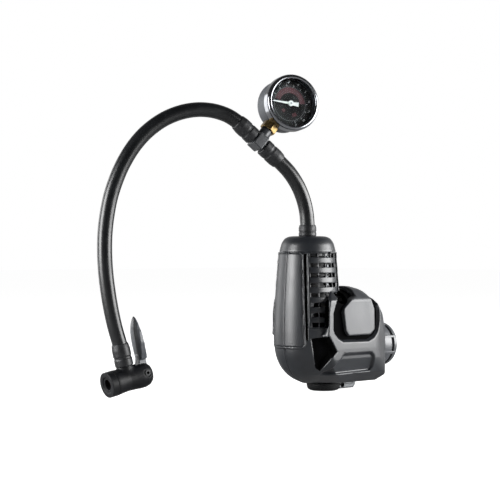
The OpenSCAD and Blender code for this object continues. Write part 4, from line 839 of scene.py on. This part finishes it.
class INFLATOR_OT_hoses(bpy.types.Operator):
    """Both lengths of rubber hose"""
    bl_idname = "inflator.hoses"
    bl_label = "Hoses"

    def execute(self, context):
        across = HOSE_PLANE @ np.array([0.0, 1.0, 0.0])
        a = np.arange(HOSE_SIDES) * TAU / HOSE_SIDES
        for name, route, far, lay, extra in (
                ("lower_hose", LOWER_ROUTE, "object", "taut", []),
                ("upper_hose", UPPER_ROUTE, "fitting", "hanging", ON_HOSE_END)):
            line, length = smooth_route(route, 1.2)
            middle = np.stack([line[:, 0], np.zeros(len(line)), line[:, 1]], -1) @ HOSE_PLANE.T
            along = np.gradient(middle, axis=0)
            along /= np.linalg.norm(along, axis=1)[:, None]
            out = np.cross(along, across)
            ring = (out[:, None, :] * np.cos(a)[None, :, None]
                    + across * np.sin(a)[None, :, None]) * sizes().hose_diameter / MM / 2
            points, faces = skin(middle[:, None, :] + ring)
            piece = put(name + "_rubber", placed(points), faces, material("rubber_extruded_hose"),
                        nodes=[name])
        return {"FINISHED"}


class INFLATOR_OT_ferrules(bpy.types.Operator):
    """Crimped ferrules on the ends of the hoses"""
    bl_idname = "inflator.ferrules"
    bl_label = "Ferrules"

    def execute(self, context):
        self.ring("base_ferrule", 8.5, 0.5, 3.0, np.array([0, 0, 118.0]), STRAIGHT, 0)
        for side, node in ((1, "upper_tee_ferrule"), (-1, "lower_tee_ferrule")):
            aim = TEE_TURN @ turn("y", side * 90)
            self.ring(node, 16.5, 3.5, 3.0, TEE_AT + aim @ np.array([0, 0, 5.5]), aim, 8)
        self.ring("chuck_ferrule", 16.5, 3.5, 1.5, NECK_AT + NECK_TURN @ np.array([0, 0, 10.0]),
                  NECK_TURN, 0)
        return {"FINISHED"}

    @staticmethod
    def ring(node, l, floor, hole, at, matrix, crimps):
        """One ferrule of length l: a step in, a waist, and a drawn-in mouth round the hose."""
        r = 6.7
        profile = soften([(hole, 0), (r - 0.4, 0), (r, 0.4), (r, l * 0.3), (r - 0.35, l * 0.34),
                          (r - 0.35, l * 0.42), (r, l * 0.46), (r, l * 0.74), (r - 0.55, l * 0.97),
                          (r - 0.9, l), (5.56, l), (5.56, floor), (hole, floor)], 0.35, 3)

        def crimp(a, radius, height):
            """Shallow flats pressed in near the middle, only on the outside."""
            t = np.exp(-((height - l * 0.6) / (l * 0.12)) ** 2)
            return np.where(radius > 6.0, radius - 0.16 * t * (0.5 + 0.5 * np.cos(crimps * a)),
                            radius)
        turned(node + "_crimped", profile, 96, "steel_blackened_ferrule", node, "ferrule_black",
               at, matrix, ripple=crimp if crimps else None)


SCALE_START, SCALE_STEP, NUMBER_R = -124, 27.55, 16.6  # degrees, degrees and millimetres


class INFLATOR_OT_gauge(bpy.types.Operator):
    """Tee, socket, case, bezel, glass and dial of the gauge"""
    bl_idname = "inflator.gauge"
    bl_label = "Gauge and tee"

    def execute(self, context):
        fine = sizes().fine_grid / MM
        contoured("tee_block", tee_block, (-10, -8, -7), (10, 8, 12.8), fine, "brass_black_coated",
                  nodes=["tee_fitting"], slot="tee_black", at=TEE_AT, matrix=GAUGE_TURN)
        contoured("socket_hexagon", gauge_socket, (-8, -10, 5.8), (8, 8, 30.5), fine,
                  "brass_machined", nodes=["gauge_socket"], slot="brass", at=TEE_AT,
                  matrix=GAUGE_TURN)
        middle = TEE_AT + GAUGE_TURN @ np.array([0, 0, GAUGE_RISE])
        case = soften([(0.01, -12.5), (17.8, -12.5), (19.3, -11.8), (20, -10.3), (20, 8.4),
                       (19, 8.4), (19, -10.3), (17.8, -11.5), (0.01, -11.5)],
                      [0, 0.8, 0.8, 0.6, 0.2, 0.2, 0.5, 0.5, 0], 4)
        face = dict(at=middle, matrix=GAUGE_TURN, axis="y")
        turned("case_pressed", case, 128, "steel_stoved_enamel", "gauge_case", "case_paint",
               closed=False, **face)
        bezel = soften([(20.03, 3.5), (20.9, 3.5), (21.5, 4.3), (21.5, 10.3), (21.0, 11.6),
                        (20.1, 12.3), (19.1, 12.5), (18.4, 12.0), (18.1, 11.05), (19.5, 11.0),
                        (19.5, 8.5), (20.03, 8.5)],
                       [0.2, 0.5, 0.6, 0.9, 0.7, 0.6, 0.5, 0.5, 0.3, 0.1, 0.1, 0.1], 5)
        turned("bezel_ring", bezel, 160, "steel_chrome_plated", "gauge_bezel", "chrome", **face)
        lens = soften([(0.01, 9.62), (19.4, 9.62), (19.4, 10.95), (14, 11.05), (7, 11.2),
                       (0.01, 11.25)], [0, 0.1, 0.3, 2, 2, 0], 4)
        turned("lens_glass", lens, 96, "glass_lens", "gauge_lens", "lens", closed=False, **face)
        disc = soften([(1.3, 4), (19, 4), (19, 4.5), (1.3, 4.5)], 0.1, 2)
        turned("dial_face", disc, 128, "dial_printed_black", "gauge_dial", "dial_print", **face)
        self.print_dial(middle)
        return {"FINISHED"}

    @staticmethod
    def print_dial(middle):
        """Scale of the dial: arcs and ticks are flat blocks 0.05 mm proud; the numbers run
        clockwise from the zero, in even steps."""
        def arc(name, inner, outer, start, end, mat, steps=64, dash=1.0):
            """A band between two radii, in steps of which the dash's share is filled."""
            a = np.radians(np.linspace(start, end, steps + 1))
            low, high = a[:-1], a[:-1] + (a[1] - a[0]) * dash
            corners = np.stack([low, low, high, high], 1)
            radii = np.array([inner, outer, outer, inner])
            ring = np.stack([-radii * np.sin(corners), np.full(corners.shape, 4.55),
                             radii * np.cos(corners)], -1)
            back = ring.copy()
            back[:, :, 1] = 4.48
            points = np.concatenate([ring, back], 1).reshape(-1, 3)
            unit = np.array([[3, 2, 1, 0], [4, 5, 6, 7], [0, 1, 5, 4], [1, 2, 6, 5],
                             [2, 3, 7, 6], [3, 0, 4, 7]])
            faces = (np.arange(len(ring))[:, None, None] * 8 + unit[None]).reshape(-1, 4)
            put(name, placed(points, middle, GAUGE_TURN), faces, material(mat),
                smooth=False)

        arc("scale_red_band", 8.4, 12.6, -112, 48, "dial_printed_red")
        arc("scale_red_low", 7.6, 10.4, 105, 128, "dial_printed_red", 12)
        arc("scale_red_mark", 6.2, 8.6, 176, 196, "dial_printed_red", 12)
        arc("scale_line", 12.9, 13.15, -180, 180, "dial_printed_grey", 120)
        arc("scale_ticks_fine", 13.9, 14.7, SCALE_START, 129.9, "dial_printed_grey", 43, 0.14)
        arc("scale_ticks", 13.5, 14.9, SCALE_START, 147.2, "dial_printed_white", 11, 0.04)
        for k in range(10):
            words = bpy.data.curves.new(f"number_{k}", "FONT")
            words.body = str(k)
            words.size = 3.0
            words.align_x = "CENTER"
            words.align_y = "CENTER"
            words.extrude = 0.02
            holder = bpy.data.objects.new(f"number_{k}_text", words)
            link(holder)
            mesh = bpy.data.meshes.new_from_object(
                holder.evaluated_get(bpy.context.evaluated_depsgraph_get()))
            bpy.data.objects.remove(holder)
            flat = np.zeros(len(mesh.vertices) * 3, np.float32)
            mesh.vertices.foreach_get("co", flat)
            p = flat.reshape(-1, 3)
            a = math.radians(SCALE_START + SCALE_STEP * k)
            spot = np.stack([-p[:, 0] - NUMBER_R * math.sin(a), 4.53 + p[:, 2],
                             p[:, 1] + NUMBER_R * math.cos(a)], -1)
            faces = [list(f.vertices) for f in mesh.polygons]
            bpy.data.meshes.remove(mesh)
            put(f"dial_number_{k}", placed(spot, middle, GAUGE_TURN), faces,
                material("dial_printed_white"), smooth=False)


class INFLATOR_OT_chuck(bpy.types.Operator):
    """Body, nose and lever of the valve chuck"""
    bl_idname = "inflator.chuck"
    bl_label = "Valve chuck"

    def execute(self, context):
        fine = sizes().fine_grid / MM
        local = dict(at=NECK_AT, matrix=CHUCK_TURN)
        contoured("chuck_barrel", chuck_body, (-20.6, -10.4, -10.4), (13.5, 10.4, 11.2), fine,
                  "alloy_cast_black", nodes=["chuck_body"], slot="chuck_black", **local)
        contoured("chuck_nose", nose_nut, (8, -10.4, -10.4), (18.6, 10.4, 10.4), fine,
                  "alloy_cast_black", nodes=["nose_nut"], slot="chuck_black", **local)
        contoured("lever_blade", chuck_lever, (-20, -7.6, -6), (-5.5, 7.6, 44.5), fine,
                  "lever_moulded", body="lever", nodes=["chuck_lever"], slot="lever_black", **local)
        return {"FINISHED"}


# Finish of each solid that is shown as it is
CARRIED = {
    "screw_steel_zinc": ("collar_screws", "housing_screws", "head_screws", "retainer_screw"),
    "steel_ground": ("lock_key_pin", "valve_spring", "shaft_bearing_rear", "shaft_bearing_front",
        "crank_bearing_rear", "crank_bearing_front", "input_shaft", "crank_shaft", "crank_pin",
        "big_end_bearing", "pointer_shaft", "depressor_pin"),
    # The frame, cylinder and head inside are near black as painted shade
    "die_cast_painted_shade": ("gear_frame", "cylinder", "cylinder_head"),
    "fibre_pressed": ("head_gasket",),
    "brass_machined": ("outlet_nipple", "bourdon_tube", "gauge_movement", "chuck_plunger"),
    "steel_sintered": ("drive_dog", "drive_pinion", "drive_gear", "crank_web"),
    "aluminium_die_cast": ("piston_rod", "seal_retainer"),
    "ptfe_moulded": ("cup_seal",),
    "acetal_orange": ("delivery_valve",),
    "pointer_enamel_white": ("gauge_pointer",),
    "rubber_seal_red": ("chuck_seal",),
    "steel_blackened_ferrule": ("lever_pin",),
}


class INFLATOR_OT_carried(bpy.types.Operator):
    """Finishes for the solids that are carried over as they are"""
    bl_idname = "inflator.carried"
    bl_label = "Carried solids"

    def execute(self, context):
        for mat, nodes in CARRIED.items():
            for node in nodes:
                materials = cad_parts[node].data.materials
                materials.clear()
                materials.append(material(mat))
        return {"FINISHED"}


# ---- stage

LENS, CAMERA_AT, FLOOR_Z = 110.9, (-0.9442, -0.7964, 0.0745), -0.0336
DIM = 0.07  # strength of the surroundings where nothing else sets it


def lamp(name, at, aim, size, power):
    """A softbox: a rectangular area lamp turned to face a point."""
    data = bpy.data.lights.new(name, "AREA")
    data.shape = "RECTANGLE"
    data.size, data.size_y = size
    data.energy = power
    obj = bpy.data.objects.new(name, data)
    obj.location = at
    obj.rotation_euler = (Vector(aim) - Vector(at)).to_track_quat("-Z", "Y").to_euler()
    link(obj)


class INFLATOR_OT_stage(bpy.types.Operator):
    """Camera, softboxes, pale floor and white surroundings"""
    bl_idname = "inflator.stage"
    bl_label = "Stage"

    def execute(self, context):
        scene = bpy.context.scene
        data = bpy.data.cameras.new("camera")
        data.lens = LENS
        data.sensor_width = 36
        data.clip_end = 20
        cam = bpy.data.objects.new("camera", data)
        cam.location = CAMERA_AT
        cam.rotation_euler = Vector((1, 1, 0)).to_track_quat("-Z", "Y").to_euler()
        link(cam)
        scene.camera = cam

        mesh = bpy.data.meshes.new("floor")
        corners = np.array([[-1, -1, 0], [1, -1, 0], [1, 1, 0], [-1, 1, 0]]) * [6, 6, 1]
        mesh.from_pydata((corners + [0, 0, FLOOR_Z]).tolist(), [], [(0, 1, 2, 3)])
        floor = bpy.data.objects.new("floor", mesh)
        link(floor)
        mat = bpy.data.materials.new("floor_pale")
        mat.use_nodes = True
        tree = mat.node_tree
        tree.nodes.clear()
        path = add(tree, "LightPath")
        sheet = add(tree, "BsdfDiffuse", {"Color": (0.5, 0.5, 0.5, 1)})
        glow = add(tree, "Emission", {"Color": (1, 1, 1, 1)},
                   {"Strength": add(tree, "Math", {"operation": "MULTIPLY", 1: 0.95},
                                    {0: path.outputs["Is Camera Ray"]}).outputs[0]})
        both = add(tree, "AddShader", None, {0: sheet.outputs[0], 1: glow.outputs[0]})
        add(tree, "OutputMaterial", None, {"Surface": both.outputs[0]})
        mesh.materials.append(mat)

        world = bpy.data.worlds.new("surroundings")
        scene.world = world
        world.use_nodes = True
        tree = world.node_tree
        tree.nodes.clear()
        path = add(tree, "LightPath")
        seen = add(tree, "Math", {"operation": "MAXIMUM"},
                   {0: path.outputs["Is Camera Ray"], 1: path.outputs["Is Transmission Ray"]})
        # Behind the part the surroundings shine as a white backdrop does; overhead they are dark
        toward = add(tree, "VectorMath", {"operation": "DOT_PRODUCT",
                                                    1: (0.68, 0.68, -0.26)},
                     {0: add(tree, "TexCoord").outputs["Generated"]})
        backdrop = add(tree, "MapRange", {1: 0.0, 2: 0.9, 3: DIM, 4: 0.6},
                       {0: toward.outputs["Value"]})
        shine = add(tree, "Math", {"operation": "MULTIPLY"},
                    {0: path.outputs["Is Glossy Ray"], 1: backdrop.outputs[0]})
        most = add(tree, "Math", {"operation": "MAXIMUM"},
                   {0: seen.outputs[0], 1: shine.outputs[0]})
        level = add(tree, "Math", {"operation": "MAXIMUM", 1: DIM},
                    {0: most.outputs[0]})
        back = add(tree, "Background", {"Color": (1, 1, 1, 1)},
                   {"Strength": level.outputs[0]})
        add(tree, "OutputWorld", None, {"Surface": back.outputs[0]})

        middle = (-0.08, 0.0, 0.05)
        lamp("key_right", (0.56, -0.76, 0.12), middle, (1.0, 0.8), 40)
        lamp("fill_left", (-0.94, 0.36, 0.10), middle, (0.5, 0.8), 26)
        lamp("edge_left", (-0.30, 0.95, 0.10), middle, (0.5, 0.8), 4)
        scene.view_settings.view_transform = "Standard"
        return {"FINISHED"}


class INFLATOR_PT_panel(bpy.types.Panel):
    """Lists the pieces that can be built"""
    bl_idname = "INFLATOR_PT_panel"
    bl_label = "Inflator"
    bl_space_type = "VIEW_3D"
    bl_region_type = "UI"
    bl_category = "Inflator"

    def draw(self, context):
        for group in (context.scene.inflator_sizes, context.scene.inflator_colours):
            for name in group.__annotations__:
                self.layout.prop(group, name)
        for operator in OPERATORS:
            self.layout.operator(operator.bl_idname)


OPERATORS = (INFLATOR_OT_stage, INFLATOR_OT_hoses, INFLATOR_OT_shells, INFLATOR_OT_strap,
             INFLATOR_OT_ferrules, INFLATOR_OT_gauge, INFLATOR_OT_chuck, INFLATOR_OT_carried)
CLASSES = (InflatorSizes, InflatorColours, *OPERATORS, INFLATOR_PT_panel)


def register():
    for cls in CLASSES:
        bpy.utils.register_class(cls)
    bpy.types.Scene.inflator_sizes = bpy.props.PointerProperty(type=InflatorSizes)
    bpy.types.Scene.inflator_colours = bpy.props.PointerProperty(type=InflatorColours)


def unregister():
    del bpy.types.Scene.inflator_colours
    del bpy.types.Scene.inflator_sizes
    for cls in reversed(CLASSES):
        bpy.utils.unregister_class(cls)


def main():
    register()
    for operator in OPERATORS:
        getattr(bpy.ops.inflator, operator.bl_idname.split(".")[1])()


if __name__ == "__main__":
    main()
